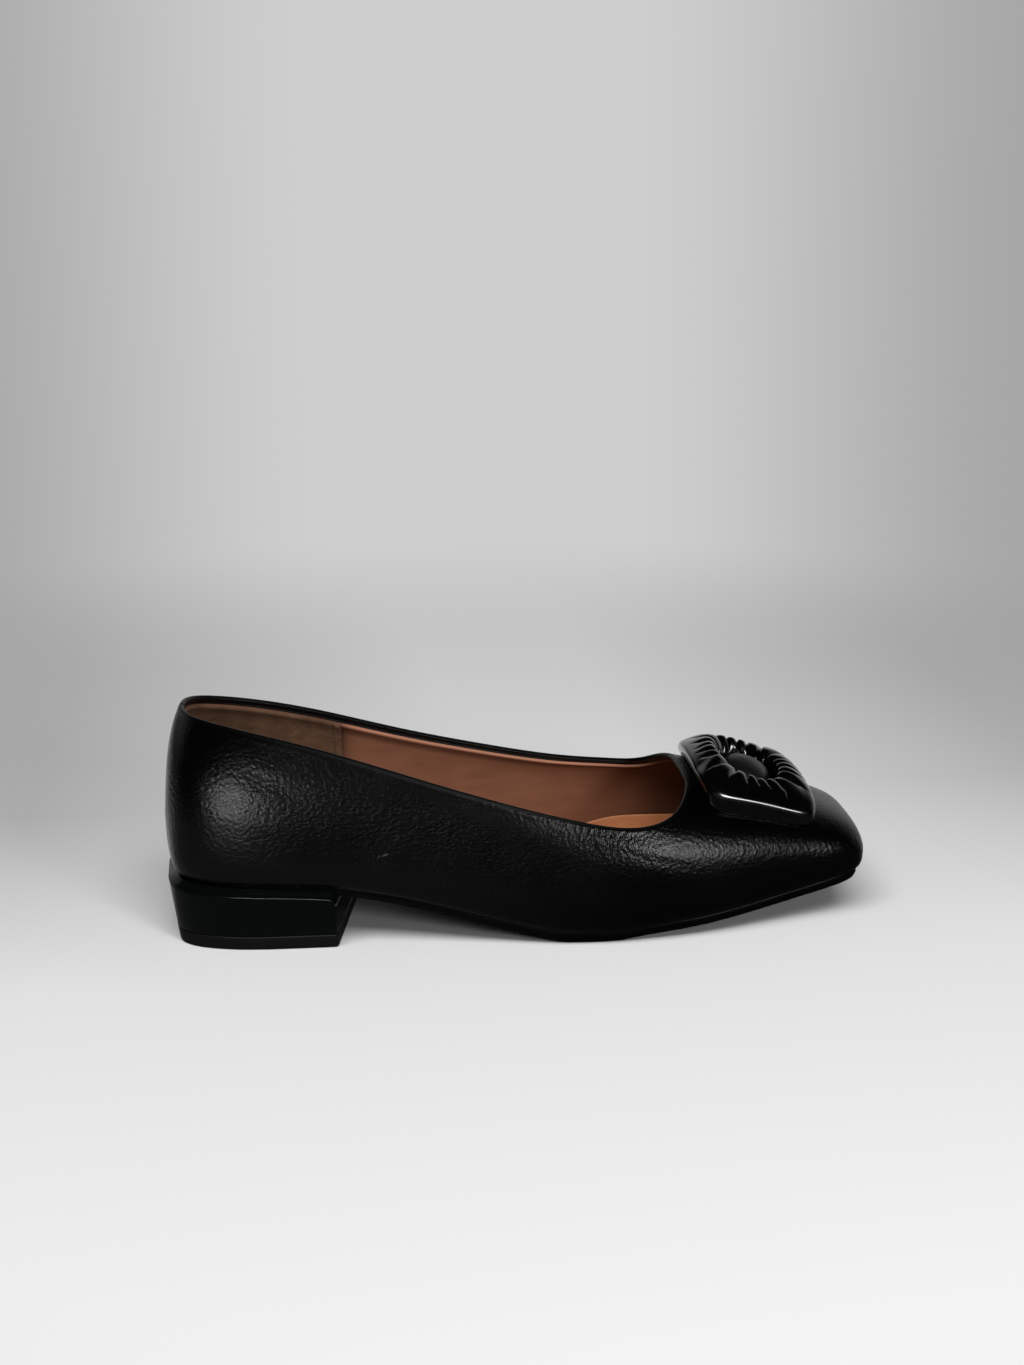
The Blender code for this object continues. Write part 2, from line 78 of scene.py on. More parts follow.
# Underside of the sole: station, heel, spring, thick, tuckOuter, tuckInner.
soleLine = np.array([
    (0.000, 1.047, 0.000, 3.0, 4.5, 4.5),
    (0.120, 1.000, 0.000, 3.0, 4.5, 4.5),
    (0.240, 0.905, 0.000, 3.0, 4.5, 5.0),
    (0.360, 0.610, 0.000, 3.1, 4.6, 7.0),
    (0.460, 0.280, 0.000, 3.3, 5.4, 8.0),
    (0.520, 0.085, 0.000, 3.5, 6.3, 7.6),
    (0.556, -0.012, 0.000, 3.6, 6.6, 7.2),
    (0.588, -0.035, 0.000, 3.6, 6.6, 6.8),
    (0.618, 0.000, -0.012, 3.6, 6.7, 6.4),
    (0.660, 0.000, 0.095, 3.6, 6.6, 6.0),
    (0.740, 0.000, 0.255, 3.6, 5.4, 5.2),
    (0.840, 0.000, 0.500, 3.6, 4.4, 4.4),
    (0.940, 0.000, 0.805, 3.6, 3.4, 3.4),
    (1.000, 0.000, 1.000, 3.6, 2.6, 2.6),
])

# Topline seen from the side: station, outer, inner as shares of the back height.
topline = np.array([
    (0.0256, 1.000, 1.000),
    (0.0400, 0.995, 0.988),
    (0.0960, 0.967, 0.946),
    (0.2120, 0.880, 0.861),
    (0.3400, 0.754, 0.753),
    (0.4600, 0.639, 0.663),
    (0.5800, 0.542, 0.584),
    (0.6600, 0.513, 0.547),
    (0.7120, 0.552, 0.556),
    (0.7390, 0.620, 0.620),
])

# Where a column of the wall meets the topline and the widest line: column, topline, widest.
columnPlaces = np.array([
    (0.00, 0.000, 0.000),
    (0.12, 0.115, 0.090),
    (0.40, 0.480, 0.410),
    (0.62, 0.790, 0.710),
    (0.74, 0.900, 0.848),
    (0.86, 0.960, 0.930),
    (1.00, 1.000, 1.000),
])


# Natural cubic through the knots: second slopes from one linear solve, then a cubic on each span.
def curveThrough(knots, values, at):
    step = np.diff(knots)
    slope = np.diff(values) / step
    count = len(knots)
    matrix = np.eye(count)
    inner = np.arange(1, count - 1)
    matrix[inner, inner - 1] = step[:-1]
    matrix[inner, inner] = 2.0 * (step[:-1] + step[1:])
    matrix[inner, inner + 1] = step[1:]
    bend = np.linalg.solve(matrix, np.concatenate([[0.0], 6.0 * np.diff(slope), [0.0]]))
    at = np.asarray(at, float)
    i = np.clip(np.searchsorted(knots, at) - 1, 0, count - 2)
    after = knots[i + 1] - at
    before = at - knots[i]
    return ((bend[i] * after ** 3 + bend[i + 1] * before ** 3) / (6.0 * step[i])
            + (values[i] / step[i] - bend[i] * step[i] / 6.0) * after
            + (values[i + 1] / step[i] - bend[i + 1] * step[i] / 6.0) * before)


# Smooth cubic step from 0 at the first value to 1 at the second.
def easeStep(low, high, at):
    share = np.clip((at - low) / (high - low), 0.0, 1.0)
    return share * share * (3.0 - 2.0 * share)


soleStations = soleLine[:, 0] * last["length"]


# Height of the sole's underside over x: seat and arch plus toe spring, rounded into the flat tread.
def soleBottom(x):
    rise = soleLine[:, 1] * last["seatHeight"] + soleLine[:, 2] * last["toeSpring"]
    rise = curveThrough(soleStations, rise, x)
    return 0.5 * (rise + np.sqrt(rise ** 2 + last["treadRound"] ** 2))


# Top of the sole: its underside plus its thickness.
def soleTop(x):
    return soleBottom(x) + curveThrough(soleStations, soleLine[:, 3], x)


# Line where the upper meets the sole: the sole's top plus the bond line.
def featherLine(x):
    return soleTop(x) + last["glue"]


# How far the wall turns in under its widest line, from the table by side.
def tuckIn(x, side):
    return curveThrough(soleStations, soleLine[:, 4 if side < 0 else 5], x)


sectionValue = {
    "x": sections[:, 0] * last["length"],
    "outer": sections[:, 1] * last["ballWidth"],
    "inner": sections[:, 2] * last["ballWidth"],
    "ridge": sections[:, 3] * last["ballWidth"],
    "square": sections[:, 6],
}
sectionValue["widest"] = sections[:, 4] * last["instep"] + featherLine(sectionValue["x"])
sectionValue["crown"] = sections[:, 5] * last["instep"] + featherLine(sectionValue["x"])

# Run from 0 at the back to 1 at the toe: knots stand apart by the root of the distance between sections.
leaps = np.array([np.diff(sectionValue[name]) for name in ("x", "outer", "crown")])
sectionRun = np.concatenate([[0.0], np.cumsum(np.linalg.norm(leaps, axis=0) ** 0.5)])
sectionRun /= sectionRun[-1]
fineRun = np.linspace(0.0, 1.0, lineSteps["run"])


# One value of the sections at a run, on the curve through the table.
def section(name, run):
    return curveThrough(sectionRun, sectionValue[name], run)


# Run at a given x: the curve of x read backwards.
def runAt(x):
    return np.interp(x, section("x", fineRun), fineRun)


# Point of the last: a superellipse quarter from the widest line (turn 0) to the ridge (quarter turn).
def lastPoint(run, turn, side):
    power = 2.0 / section("square", run)
    across = np.clip(np.cos(turn), 0.0, 1.0) ** power
    over = np.clip(np.sin(turn), 0.0, 1.0) ** power
    ridge = section("ridge", run)
    edge = -section("outer", run) if side < 0 else section("inner", run)
    widest = section("widest", run)
    return np.stack([section("x", run), ridge + (edge - ridge) * across,
                     widest + (section("crown", run) - widest) * over], -1)


# Height of the vamp over a place in plan: the same superellipse solved for height.
def vampHeight(x, y):
    run = runAt(x)
    ridge = section("ridge", run)
    edge = np.where(y < ridge, -section("outer", run), section("inner", run))
    square = section("square", run)
    across = np.clip((y - ridge) / (edge - ridge), 0.0, 1.0)
    widest = section("widest", run)
    return widest + (section("crown", run) - widest) * (1.0 - across ** square) ** (1.0 / square)


# Share of the way along a line at each of its points: length so far over the whole.
def alongShare(points):
    way = np.concatenate([[0.0], np.cumsum(np.linalg.norm(np.diff(points, axis=0), axis=1))])
    return way / way[-1]


# Columns of a table read at given places, side by side.
def readColumns(at, known, table):
    return np.stack([np.interp(at, known, table[:, k]) for k in range(table.shape[1])], -1)


# Widest line of one side: across the back, along the side, across the toe.
def widestLine(side):
    end, length = lineSteps["end"], lineSteps["side"]
    quarter = np.linspace(np.pi / 2.0, 0.0, end)
    run = np.concatenate([np.zeros(end), np.linspace(0.0, 1.0, length), np.ones(end)])
    turn = np.concatenate([quarter, np.zeros(length), quarter[::-1]])
    way = alongShare(lastPoint(run, turn, side))
    keep = np.concatenate([[True], np.diff(way) > 0.0])
    return run[keep], turn[keep], way[keep]


# Topline of one side on the last: height from the table, turned into the section's own angle.
def collarLine(side):
    x = topline[:, 0] * last["length"]
    z = topline[:, 1 if side < 0 else 2] * last["backHeight"]
    knots = alongShare(np.stack([x, topline[:, 1] * last["backHeight"]], -1))
    fine = np.linspace(0.0, 1.0, lineSteps["topline"])
    run = runAt(curveThrough(knots, x, fine))
    widest = section("widest", run)
    over = curveThrough(knots, z, fine) - widest
    share = np.clip(over / (section("crown", run) - widest), 0.0, 1.0)
    turn = np.arcsin(share ** (section("square", run) / 2.0))
    turn[[0, -1]] = np.pi / 2.0
    return run, turn, alongShare(lastPoint(run, turn, side))


# Places on the widest line with the plan direction into the shoe, square to the line.
def outlineAt(side, shares):
    run, turn, way = widestLine(side)
    line = lastPoint(run, turn, side)
    tangent = np.gradient(line[:, :2], way, axis=0)
    inward = np.stack([-tangent[:, 1], tangent[:, 0]], -1) * -side
    inward = readColumns(shares, way, inward)
    inward /= np.linalg.norm(inward, axis=1)[:, None]
    return readColumns(shares, way, line), inward


# Outer side forwards, inner side backwards: one closed ring of columns.
def joinSides(outer, inner):
    return np.concatenate([outer, inner[..., -2:0:-1, :]], axis=-2)


# Shares of topline and widest line for evenly counted columns, on the curve through the table.
def placeShares(count):
    column = np.linspace(0.0, 1.0, count + 1)
    return [curveThrough(columnPlaces[:, 0], columnPlaces[:, k], column) for k in (1, 2)]


# Gaussian blur round a closed line of equal steps, as a product in frequency.
def softRing(line, width):
    damp = np.exp(-2.0 * (np.pi * width * np.fft.fftfreq(len(line))) ** 2)
    damp = damp[:, None] if line.ndim > 1 else damp
    return np.fft.ifft(np.fft.fft(line, axis=0) * damp, axis=0).real


# Grid of quads over rows and columns, either direction closed on itself.
def gridFaces(rows, columns, closeRows=False, closeColumns=True):
    r = np.arange(rows if closeRows else rows - 1)
    c = np.arange(columns if closeColumns else columns - 1)
    r, c = np.meshgrid(r, c, indexing="ij")
    r2 = (r + 1) % rows
    c2 = (c + 1) % columns
    quads = np.stack([r * columns + c, r * columns + c2, r2 * columns + c2, r2 * columns + c], -1)
    return quads.reshape(-1, 4)


# Cap of a ring from each column to the one across from it: one triangle at each end, quads between.
def ladderFaces(start, count):
    j = np.arange(1, count // 2 - 1)
    quads = np.stack([start + j, start + j + 1, start + count - j - 1, start + count - j], -1)
    ends = [[start, start + 1, start + count - 1],
            [start + count // 2 - 1, start + count // 2, start + count // 2 + 1]]
    return quads.tolist() + ends


# Rings of one count from first to last, both ends closed by a ladder.
def ladderClosed(rows):
    count = rows.shape[1]
    faces = gridFaces(len(rows), count).tolist() + [f[::-1] for f in ladderFaces(0, count)]
    return faces + ladderFaces((len(rows) - 1) * count, count)


# Triangles from each step of a ring to one middle point.
def fanFaces(start, count, middle):
    c = np.arange(count)
    return np.stack([start + c, start + (c + 1) % count, np.full(count, middle)], -1).tolist()


# Mesh object in metres about the part's origin, its faces turned outwards by the sign of its volume.
def addPiece(name, points, faces, finish, node=None, values=None):
    points = (np.asarray(points, float).reshape(-1, 3) - (last["heelCentre"], 0.0, 0.0)) * 0.001
    faces = faces.tolist() if isinstance(faces, np.ndarray) else faces
    corners = np.array([f[:3] for f in faces] + [[f[0], f[2], f[3]] for f in faces if len(f) == 4])
    a, b, c = (points[corners[:, k]] for k in range(3))
    if np.einsum("ij,ij->", a, np.cross(b, c)) < 0.0:
        faces = [f[::-1] for f in faces]
    mesh = bpy.data.meshes.new(name)
    mesh.from_pydata(points.tolist(), [], faces)
    mesh.polygons.foreach_set("use_smooth", np.ones(len(mesh.polygons), bool))
    for key, value in (values or {}).items():
        layer = mesh.attributes.new(key, "FLOAT", "POINT")
        layer.data.foreach_set("value", np.ravel(value).astype(np.float32))
    mesh.materials.append(finish)
    mesh.update()
    piece = bpy.data.objects.new(name, mesh)
    bpy.context.scene.collection.objects.link(piece)
    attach(piece, "root")
    if node:
        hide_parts(node)
    print(name, len(points), "points")
    return piece


# Finishes. In a node's inputs a socket is linked, and anything else is set on the input itself.
def addNode(tree, kind, inputs=None, **settings):
    made = tree.nodes.new(kind)
    for key, value in settings.items():
        setattr(made, key, value)
    for key, value in (inputs or {}).items():
        if isinstance(value, bpy.types.NodeSocket):
            tree.links.new(value, made.inputs[key])
        else:
            made.inputs[key].default_value = value
    return made


# New material with some of the shader's sockets set, and Object coordinates for its patterns.
def newFinish(name, sockets):
    finish = bpy.data.materials.new(name)
    finish.use_nodes = True
    tree = finish.node_tree
    shader = tree.nodes["Principled BSDF"]
    for key, value in sockets.items():
        shader.inputs[key].default_value = value
    place = addNode(tree, "ShaderNodeTexCoord").outputs["Object"]
    return finish, tree, shader, place


# Coordinates times a scale on each axis.
def stretched(tree, place, scale):
    return addNode(tree, "ShaderNodeMapping", {"Vector": place, "Scale": scale}).outputs["Vector"]


# Fractal noise from 0 to 1, most of it inside noiseSpan.
def noise(tree, place, scale, detail, rough, twist=0.0):
    return addNode(tree, "ShaderNodeTexNoise", {"Vector": place, "Scale": scale, "Detail": detail,
                                                "Roughness": rough, "Distortion": twist}).outputs["Fac"]


noiseSpan = (0.3, 0.7)


# Distance to the nearest of scattered points: round grains with sharp or soft borders.
def cells(tree, place, scale, feature="F1"):
    return addNode(tree, "ShaderNodeTexVoronoi", {"Vector": place, "Scale": scale},
                   feature=feature).outputs["Distance"]


# Straight or smooth map of one range on another, held at its ends.
def between(tree, fac, low, high, toLow=0.0, toHigh=1.0, kind="LINEAR"):
    return addNode(tree, "ShaderNodeMapRange", {"Value": fac, "From Min": low, "From Max": high, "To Min": toLow,
                                                "To Max": toHigh}, interpolation_type=kind).outputs["Result"]


# One math node.
def sums(tree, operation, a, b):
    return addNode(tree, "ShaderNodeMath", {0: a, 1: b}, operation=operation).outputs[0]


# Sum of two values, each times its share.
def weigh(tree, a, shareA, b, shareB):
    return sums(tree, "ADD", sums(tree, "MULTIPLY", a, shareA), sums(tree, "MULTIPLY", b, shareB))


# Mix of two colours by a factor.
def tints(tree, fac, first, second):
    mix = addNode(tree, "ShaderNodeMix", {"Factor": fac}, data_type="RGBA")
    for key, value in ((6, first), (7, second)):
        if isinstance(value, bpy.types.NodeSocket):
            tree.links.new(value, mix.inputs[key])
        else:
            mix.inputs[key].default_value = (*value, 1.0)
    return mix.outputs[2]


# One value as a grey.
def grey(tree, tone):
    return addNode(tree, "ShaderNodeCombineColor", {0: tone, 1: tone, 2: tone}).outputs[0]


# Value that a piece carries on its points.
def carried(tree, name):
    return addNode(tree, "ShaderNodeAttribute", attribute_name=name).outputs["Fac"]


# Bump from a height, over another bump if one is given.
def relief(tree, shader, height, depth, strength, under=None):
    inputs = {"Height": height, "Distance": depth, "Strength": strength}
    if under is not None:
        inputs["Normal"] = under
    made = addNode(tree, "ShaderNodeBump", inputs).outputs["Normal"]
    tree.links.new(made, shader.inputs["Normal"])
    return made


# In the looks below a noise is scale, detail, roughness and twist, and gloss is the least and most roughness.
# Black leather of the upper: fine grain over round pebbles, slow changes of gloss, one faint scuff.
upperLook = {
    "sockets": {"Specular IOR Level": 0.28},
    "dark": (0.0002, 0.0002, 0.00022),
    "pale": (0.0006, 0.0006, 0.00065),
    "slow": (42.0, 3.0, 0.55),
    "gloss": (0.22, 0.29),
    "grainSize": 2100.0,      # grains a metre
    "grainShare": 0.8,
    "pores": (3990.0, 2.0, 0.6),
    "poreShare": 0.45,
    "pebbleSize": 820.0,      # round swells under the grain
    "pebbleShare": 2.4,
    "depth": 0.000048,
    "pulledGrain": 0.2,       # grain left where the edge is pulled over
    "pulledDull": 0.22,       # rougher where the edge is pulled over
    "scuffPlace": (0.045, -0.0326, 0.0363),
    "scuffStrokes": (
        # along, up, turn, half sizes
        (0.0, 0.0, 0.35, (0.0016, 0.004, 0.00034)),
        (-0.0022, -0.0006, 0.9, (0.0007, 0.004, 0.0004)),
    ),
    "scuffEdge": 0.45,        # share of a stroke that is full
    "scuffBreaks": (240.0, 2.0, 0.5),
    "scuffSpan": (0.38, 0.56),
    "scuffTint": (0.040, 0.039, 0.038),
    "scuffDull": 0.3,
}


# Height is grain, pores and pebbles by their shares; a scuff stroke is a turned ellipsoid, broken by noise.
def makeUpperLeather():
    look = upperLook
    finish, tree, shader, place = newFinish("upperLeather", look["sockets"])
    slow = noise(tree, place, *look["slow"])
    x, y, z = look["scuffPlace"]
    strokes = []
    for along, up, turn, size in look["scuffStrokes"]:
        centred = addNode(tree, "ShaderNodeVectorMath", {0: place, 1: (x + along, y, z + up)},
                          operation="SUBTRACT").outputs[0]
        local = addNode(tree, "ShaderNodeVectorRotate", {"Vector": centred, "Angle": turn},
                        rotation_type="Y_AXIS").outputs[0]
        spread = stretched(tree, local, tuple(1.0 / s for s in size))
        reach = addNode(tree, "ShaderNodeVectorMath", {0: spread}, operation="LENGTH").outputs["Value"]
        strokes.append(between(tree, reach, 1.0, look["scuffEdge"]))
    breaks = between(tree, noise(tree, place, *look["scuffBreaks"]), *look["scuffSpan"])
    scuff = sums(tree, "MULTIPLY", sums(tree, "MAXIMUM", *strokes), breaks)
    body = tints(tree, slow, look["dark"], look["pale"])
    tree.links.new(tints(tree, scuff, body, look["scuffTint"]), shader.inputs["Base Color"])
    pulled = carried(tree, "pulled")
    gloss = sums(tree, "ADD", between(tree, slow, *noiseSpan, *look["gloss"]),
                 weigh(tree, pulled, look["pulledDull"], scuff, look["scuffDull"]))
    tree.links.new(gloss, shader.inputs["Roughness"])
    height = weigh(tree, cells(tree, place, look["grainSize"]), look["grainShare"],
                   noise(tree, place, *look["pores"]), look["poreShare"])
    pebbles = cells(tree, place, look["pebbleSize"], "SMOOTH_F1")
    height = sums(tree, "ADD", height, sums(tree, "MULTIPLY", pebbles, look["pebbleShare"]))
    left = between(tree, pulled, 0.0, 1.0, 1.0, look["pulledGrain"])
    relief(tree, shader, sums(tree, "MULTIPLY", height, left), look["depth"], 1.0)
    return finish


# Smooth tan lining: soft streaks along the shoe over slow tone changes, a painted highlight along the lip, and
# painted shade in the hollow under the lip, inside the toe and as a painted shadow beside the grip's seam.
liningLook = {
    "sockets": {"Specular IOR Level": 0.18},
    "light": (0.25, 0.108, 0.062),
    "deep": (0.155, 0.063, 0.036),
    # lip: colour of the painted highlight along the rolled lip; shade: black that the painted shade mixes
    # towards
    "lip": (0.36, 0.16, 0.098),
    "shade": (0.0, 0.0, 0.0),
    "streaks": (60.0, 60.0, 260.0),   # changes a metre along, across and up
    "streakNoise": (1.0, 4.0, 0.6),
    "streakShare": 0.6,
    "streakDepth": 0.00012,
    "slow": (55.0, 2.0, 0.5),
    "toneSpan": (0.20, 0.80),
    "gloss": (0.44, 0.56),
    "fine": (2600.0, 2.0, 0.6),
    "fineDepth": 0.00003,
    "strength": 0.5,
}


# Tone is streaks and slow noise by their shares; the painted highlight of the lip and the painted shade are
# carried on the points.
def makeLiningLeather():
    look = liningLook
    finish, tree, shader, place = newFinish("liningLeather", look["sockets"])
    streak = noise(tree, stretched(tree, place, look["streaks"]), *look["streakNoise"])
    slow = noise(tree, place, *look["slow"])
    tone = weigh(tree, streak, look["streakShare"], slow, 1.0 - look["streakShare"])
    body = tints(tree, between(tree, tone, *look["toneSpan"]), look["deep"], look["light"])
    # painted highlight along the lip, then painted shade
    body = tints(tree, carried(tree, "lip"), body, look["lip"])
    body = tints(tree, carried(tree, "shade"), body, look["shade"])
    tree.links.new(body, shader.inputs["Base Color"])
    tree.links.new(between(tree, streak, *noiseSpan, *look["gloss"]), shader.inputs["Roughness"])
    soft = relief(tree, shader, streak, look["streakDepth"], look["strength"])
    relief(tree, shader, noise(tree, place, *look["fine"]), look["fineDepth"], look["strength"], soft)
    return finish


# Tan suede of the heel grip: short nap in patches brushed different ways.
gripLook = {
    "sockets": {"Specular IOR Level": 0.12, "Sheen Weight": 0.15, "Sheen Roughness": 0.45,
                "Sheen Tint": (0.95, 0.75, 0.6, 1.0)},
    "light": (0.125, 0.069, 0.040),
    "deep": (0.072, 0.037, 0.021),
    "brushed": (150.0, 150.0, 260.0),
    "brushedNoise": (1.0, 4.0, 0.65, 0.6),
    "nap": (3200.0, 3.0, 0.7),
    "napShare": 0.25,
    "toneSpan": (0.36, 0.64),
    "gloss": (0.86, 0.98),
    "depth": 0.00016,
    "strength": 0.7,
}


# Tone is brushed patches and nap by their shares; the nap alone gives roughness and bump.
def makeGripSuede():
    look = gripLook
    finish, tree, shader, place = newFinish("gripSuede", look["sockets"])
    nap = noise(tree, place, *look["nap"])
    brushed = noise(tree, stretched(tree, place, look["brushed"]), *look["brushedNoise"])
    tone = between(tree, weigh(tree, brushed, 1.0 - look["napShare"], nap, look["napShare"]), *look["toneSpan"])
    tree.links.new(tints(tree, tone, look["deep"], look["light"]), shader.inputs["Base Color"])
    tree.links.new(between(tree, nap, *noiseSpan, *look["gloss"]), shader.inputs["Roughness"])
    relief(tree, shader, nap, look["depth"], look["strength"])
    return finish


# Plainer finishes. tooth is a fine noise for the bump, or grain is cells for it.
plainLooks = {
    # orange tan sock: smooth leather with a fine print
    "sock": {
        "name": "sockLeather", "sockets": {}, "slow": (60.0, 3.0, 0.5), "toneSpan": (0.35, 0.65),
        "dark": (0.43, 0.178, 0.081), "pale": (0.53, 0.235, 0.110), "gloss": (0.4, 0.54),
        "grain": 1900.0, "depth": 0.00006, "strength": 0.5,
    },
    # moulded black sole with a fine tooth
    "sole": {
        "name": "soleRubber", "sockets": {"Specular IOR Level": 0.16}, "slow": (90.0, 3.0, 0.6),
        "dark": (0.0003, 0.0003, 0.00035), "pale": (0.0011, 0.0011, 0.0012), "gloss": (0.26, 0.38),
        "tooth": (2100.0, 2.0, 0.6), "depth": 0.00006, "strength": 0.6,
    },
    # top lift: duller rubber with a coarse tooth
    "lift": {
        "name": "liftRubber", "sockets": {"Specular IOR Level": 0.16}, "slow": (120.0, 3.0, 0.6),
        "dark": (0.0015, 0.0015, 0.0016), "pale": (0.0035, 0.0035, 0.0037), "gloss": (0.40, 0.54),
        "tooth": (1500.0, 2.0, 0.7), "depth": 0.0001, "strength": 0.6,
    },
    # patent of the ornament: clear lacquer over a faint orange peel
    "patent": {
        "name": "patent", "slow": (150.0, 2.0, 0.5),
        "sockets": {"Coat Weight": 0.8, "Coat Roughness": 0.09, "Specular IOR Level": 0.4},
        "dark": (0.0004, 0.0004, 0.00045), "pale": (0.0011, 0.0011, 0.0012), "gloss": (0.13, 0.22),
        "tooth": (420.0, 1.0, 0.4), "depth": 0.00004, "strength": 0.5,
    },
    # button cover: satin leather with a very fine grain
    "button": {
        "name": "buttonSatin", "sockets": {}, "slow": (160.0, 2.0, 0.5),
        "dark": (0.003, 0.003, 0.0032), "pale": (0.007, 0.007, 0.0073), "gloss": (0.34, 0.46),
        "grain": 2400.0, "depth": 0.00004, "strength": 0.5,
    },
}


# Tone and roughness follow one slow noise, the bump a finer pattern.
def makePlainFinish(look):
    finish, tree, shader, place = newFinish(look["name"], look["sockets"])
    slow = noise(tree, place, *look["slow"])
    tone = between(tree, slow, *look["toneSpan"]) if "toneSpan" in look else slow
    tree.links.new(tints(tree, tone, look["dark"], look["pale"]), shader.inputs["Base Color"])
    tree.links.new(between(tree, slow, *noiseSpan, *look["gloss"]), shader.inputs["Roughness"])
    fine = cells(tree, place, look["grain"]) if "grain" in look else noise(tree, place, *look["tooth"])
    relief(tree, shader, fine, look["depth"], look["strength"])
    return finish


# Heel block: semi-gloss black plastic with a very shallow sink and fine handling marks.
heelLook = {
    "sockets": {"Specular IOR Level": 0.14},
    "dark": (0.0004, 0.0009, 0.0008),
    "pale": (0.0008, 0.0014, 0.0012),
    "slow": (70.0, 2.0, 0.5),
    "marks": (120.0, 120.0, 520.0),
    "markNoise": (1.0, 3.0, 0.6),
    "markSpan": (0.3, 0.8),
    "gloss": (0.15, 0.20),
    "depth": 0.0002,
    "strength": 0.1,
}


# Slow noise gives tone and sink, stretched noise the roughness.
def makeHeelPlastic():
    look = heelLook
    finish, tree, shader, place = newFinish("heelPlastic", look["sockets"])
    slow = noise(tree, place, *look["slow"])
    marks = noise(tree, stretched(tree, place, look["marks"]), *look["markNoise"])
    tree.links.new(tints(tree, slow, look["dark"], look["pale"]), shader.inputs["Base Color"])
    tree.links.new(between(tree, marks, *look["markSpan"], *look["gloss"]), shader.inputs["Roughness"])
    relief(tree, shader, slow, look["depth"], look["strength"])
    return finish


# Brown sewing thread.
threadLook = {
    "sockets": {"Roughness": 0.7},
    "dark": (0.13, 0.078, 0.048),
    "pale": (0.24, 0.155, 0.100),
    "twist": (900.0, 900.0, 3200.0),
    "twistNoise": (1.0, 2.0, 0.5),
    "depth": 0.00008,
    "strength": 0.6,
}


# One stretched noise gives tone and bump.
def makeThread():
    look = threadLook
    finish, tree, shader, place = newFinish("brownThread", look["sockets"])
    twist = noise(tree, stretched(tree, place, look["twist"]), *look["twistNoise"])
    tree.links.new(tints(tree, twist, look["dark"], look["pale"]), shader.inputs["Base Color"])
    relief(tree, shader, twist, look["depth"], look["strength"])
    return finish


finishes = {
    "upper": makeUpperLeather(),
    "lining": makeLiningLeather(),
    "grip": makeGripSuede(),
    "heel": makeHeelPlastic(),
    "thread": makeThread(),
    **{key: makePlainFinish(look) for key, look in plainLooks.items()},
}
print("finishes:", len(finishes))
# Wall of the upper as one fine grid, topline to lasting margin.
wallGrid = {"columns": 240, "rows": 84, "underRows": 16, "marginRows": 3}


# Rows blend run and turn from the topline to the widest line, then a superellipse quarter turns under.
def wallSide(side):
    collarShares, widestShares = placeShares(wallGrid["columns"])
    runW, turnW, wayW = widestLine(side)
    runC, turnC, wayC = collarLine(side)
    runLow, turnLow = np.interp(widestShares, wayW, runW), np.interp(widestShares, wayW, turnW)
    runTop, turnTop = np.interp(collarShares, wayC, runC), np.interp(collarShares, wayC, turnC)
    share = np.linspace(0.0, 1.0, wallGrid["rows"] + 1)[:, None]
    wall = lastPoint(runTop + (runLow - runTop) * share, turnTop + (turnLow - turnTop) * share, side)
    line, inward = outlineAt(side, widestShares)
    wall[-1] = line
    depth = tuckIn(line[:, 0], side)
    foot = featherLine(line[:, 0] + inward[:, 0] * depth)
    turn = 0.5 * np.pi * np.arange(1, wallGrid["underRows"] + 1)[:, None] / wallGrid["underRows"]
    power = 2.0 / last["underSquare"]
    stand = depth * (1.0 - np.clip(np.cos(turn), 0.0, 1.0) ** power)
    under = np.concatenate([line[:, :2] + inward * stand[..., None],
                            (line[:, 2] - (line[:, 2] - foot) * np.sin(turn) ** power)[..., None]], -1)
    step = np.arange(1, wallGrid["marginRows"] + 1)[:, None] / wallGrid["marginRows"]
    plan = line[:, :2] + inward * (depth + last["margin"] * step)[..., None]
    margin = np.concatenate([plan, featherLine(plan[..., 0])[..., None]], -1)
    return np.concatenate([wall, under, margin])


wall = joinSides(wallSide(-1), wallSide(1))
around = np.roll(wall, -1, axis=1) - np.roll(wall, 1, axis=1)
wallInward = np.cross(around, np.gradient(wall, axis=0))
wallInward /= np.linalg.norm(wallInward, axis=2)[:, :, None]
wallDepth = np.concatenate([np.zeros((1, wall.shape[1])),
                            np.cumsum(np.linalg.norm(np.diff(wall, axis=0), axis=2), axis=0)])
print("wall grid:", wall.shape)


# Fractional rows at given depths under the topline, each read down the column nearest to its place; the
# columns stand one after another, clear of each other, so that one interpolation reads them all.
def rowsAtDepth(depth, column):
    known = wallDepth[:, np.round(column).astype(int).ravel() % wall.shape[1]]
    base = np.arange(known.shape[1]) * wallDepth.max() * 1.01
    row = np.tile(np.arange(len(wall), dtype=float), known.shape[1])
    found = np.interp(np.clip(depth.ravel(), 0.0, known[-1]) + base, (known + base).T.ravel(), row)
    return found.reshape(depth.shape)


# Point of the wall at a fractional row and column, moved inwards by an offset.
def wallAt(row, column, offset):
    rows, columns = wallDepth.shape
    r0 = np.clip(np.floor(row).astype(int), 0, rows - 2)
    c0 = np.floor(column).astype(int)
    fr, fc = (row - r0)[..., None], (column - c0)[..., None]
    c0, c1 = c0 % columns, (c0 + 1) % columns

    def blend(grid):
        low = grid[r0, c0] * (1.0 - fc) + grid[r0, c1] * fc
        high = grid[r0 + 1, c0] * (1.0 - fc) + grid[r0 + 1, c1] * fc
        return low * (1.0 - fr) + high * fr

    inward = blend(wallInward)
    inward /= np.linalg.norm(inward, axis=-1)[..., None]
    return blend(wall) + inward * np.asarray(offset, float)[..., None]


# Rings of the wall at given depths, each moved inwards by its offset.
def ringAtDepth(depth, offset):
    shape = (len(depth), wall.shape[1])
    depth = np.broadcast_to(np.reshape(depth, (len(depth), -1)), shape)
    column = np.broadcast_to(np.arange(shape[1], dtype=float), shape)
    offset = np.broadcast_to(np.reshape(offset, (-1, 1)), shape)
    return wallAt(rowsAtDepth(depth, column), column, offset)


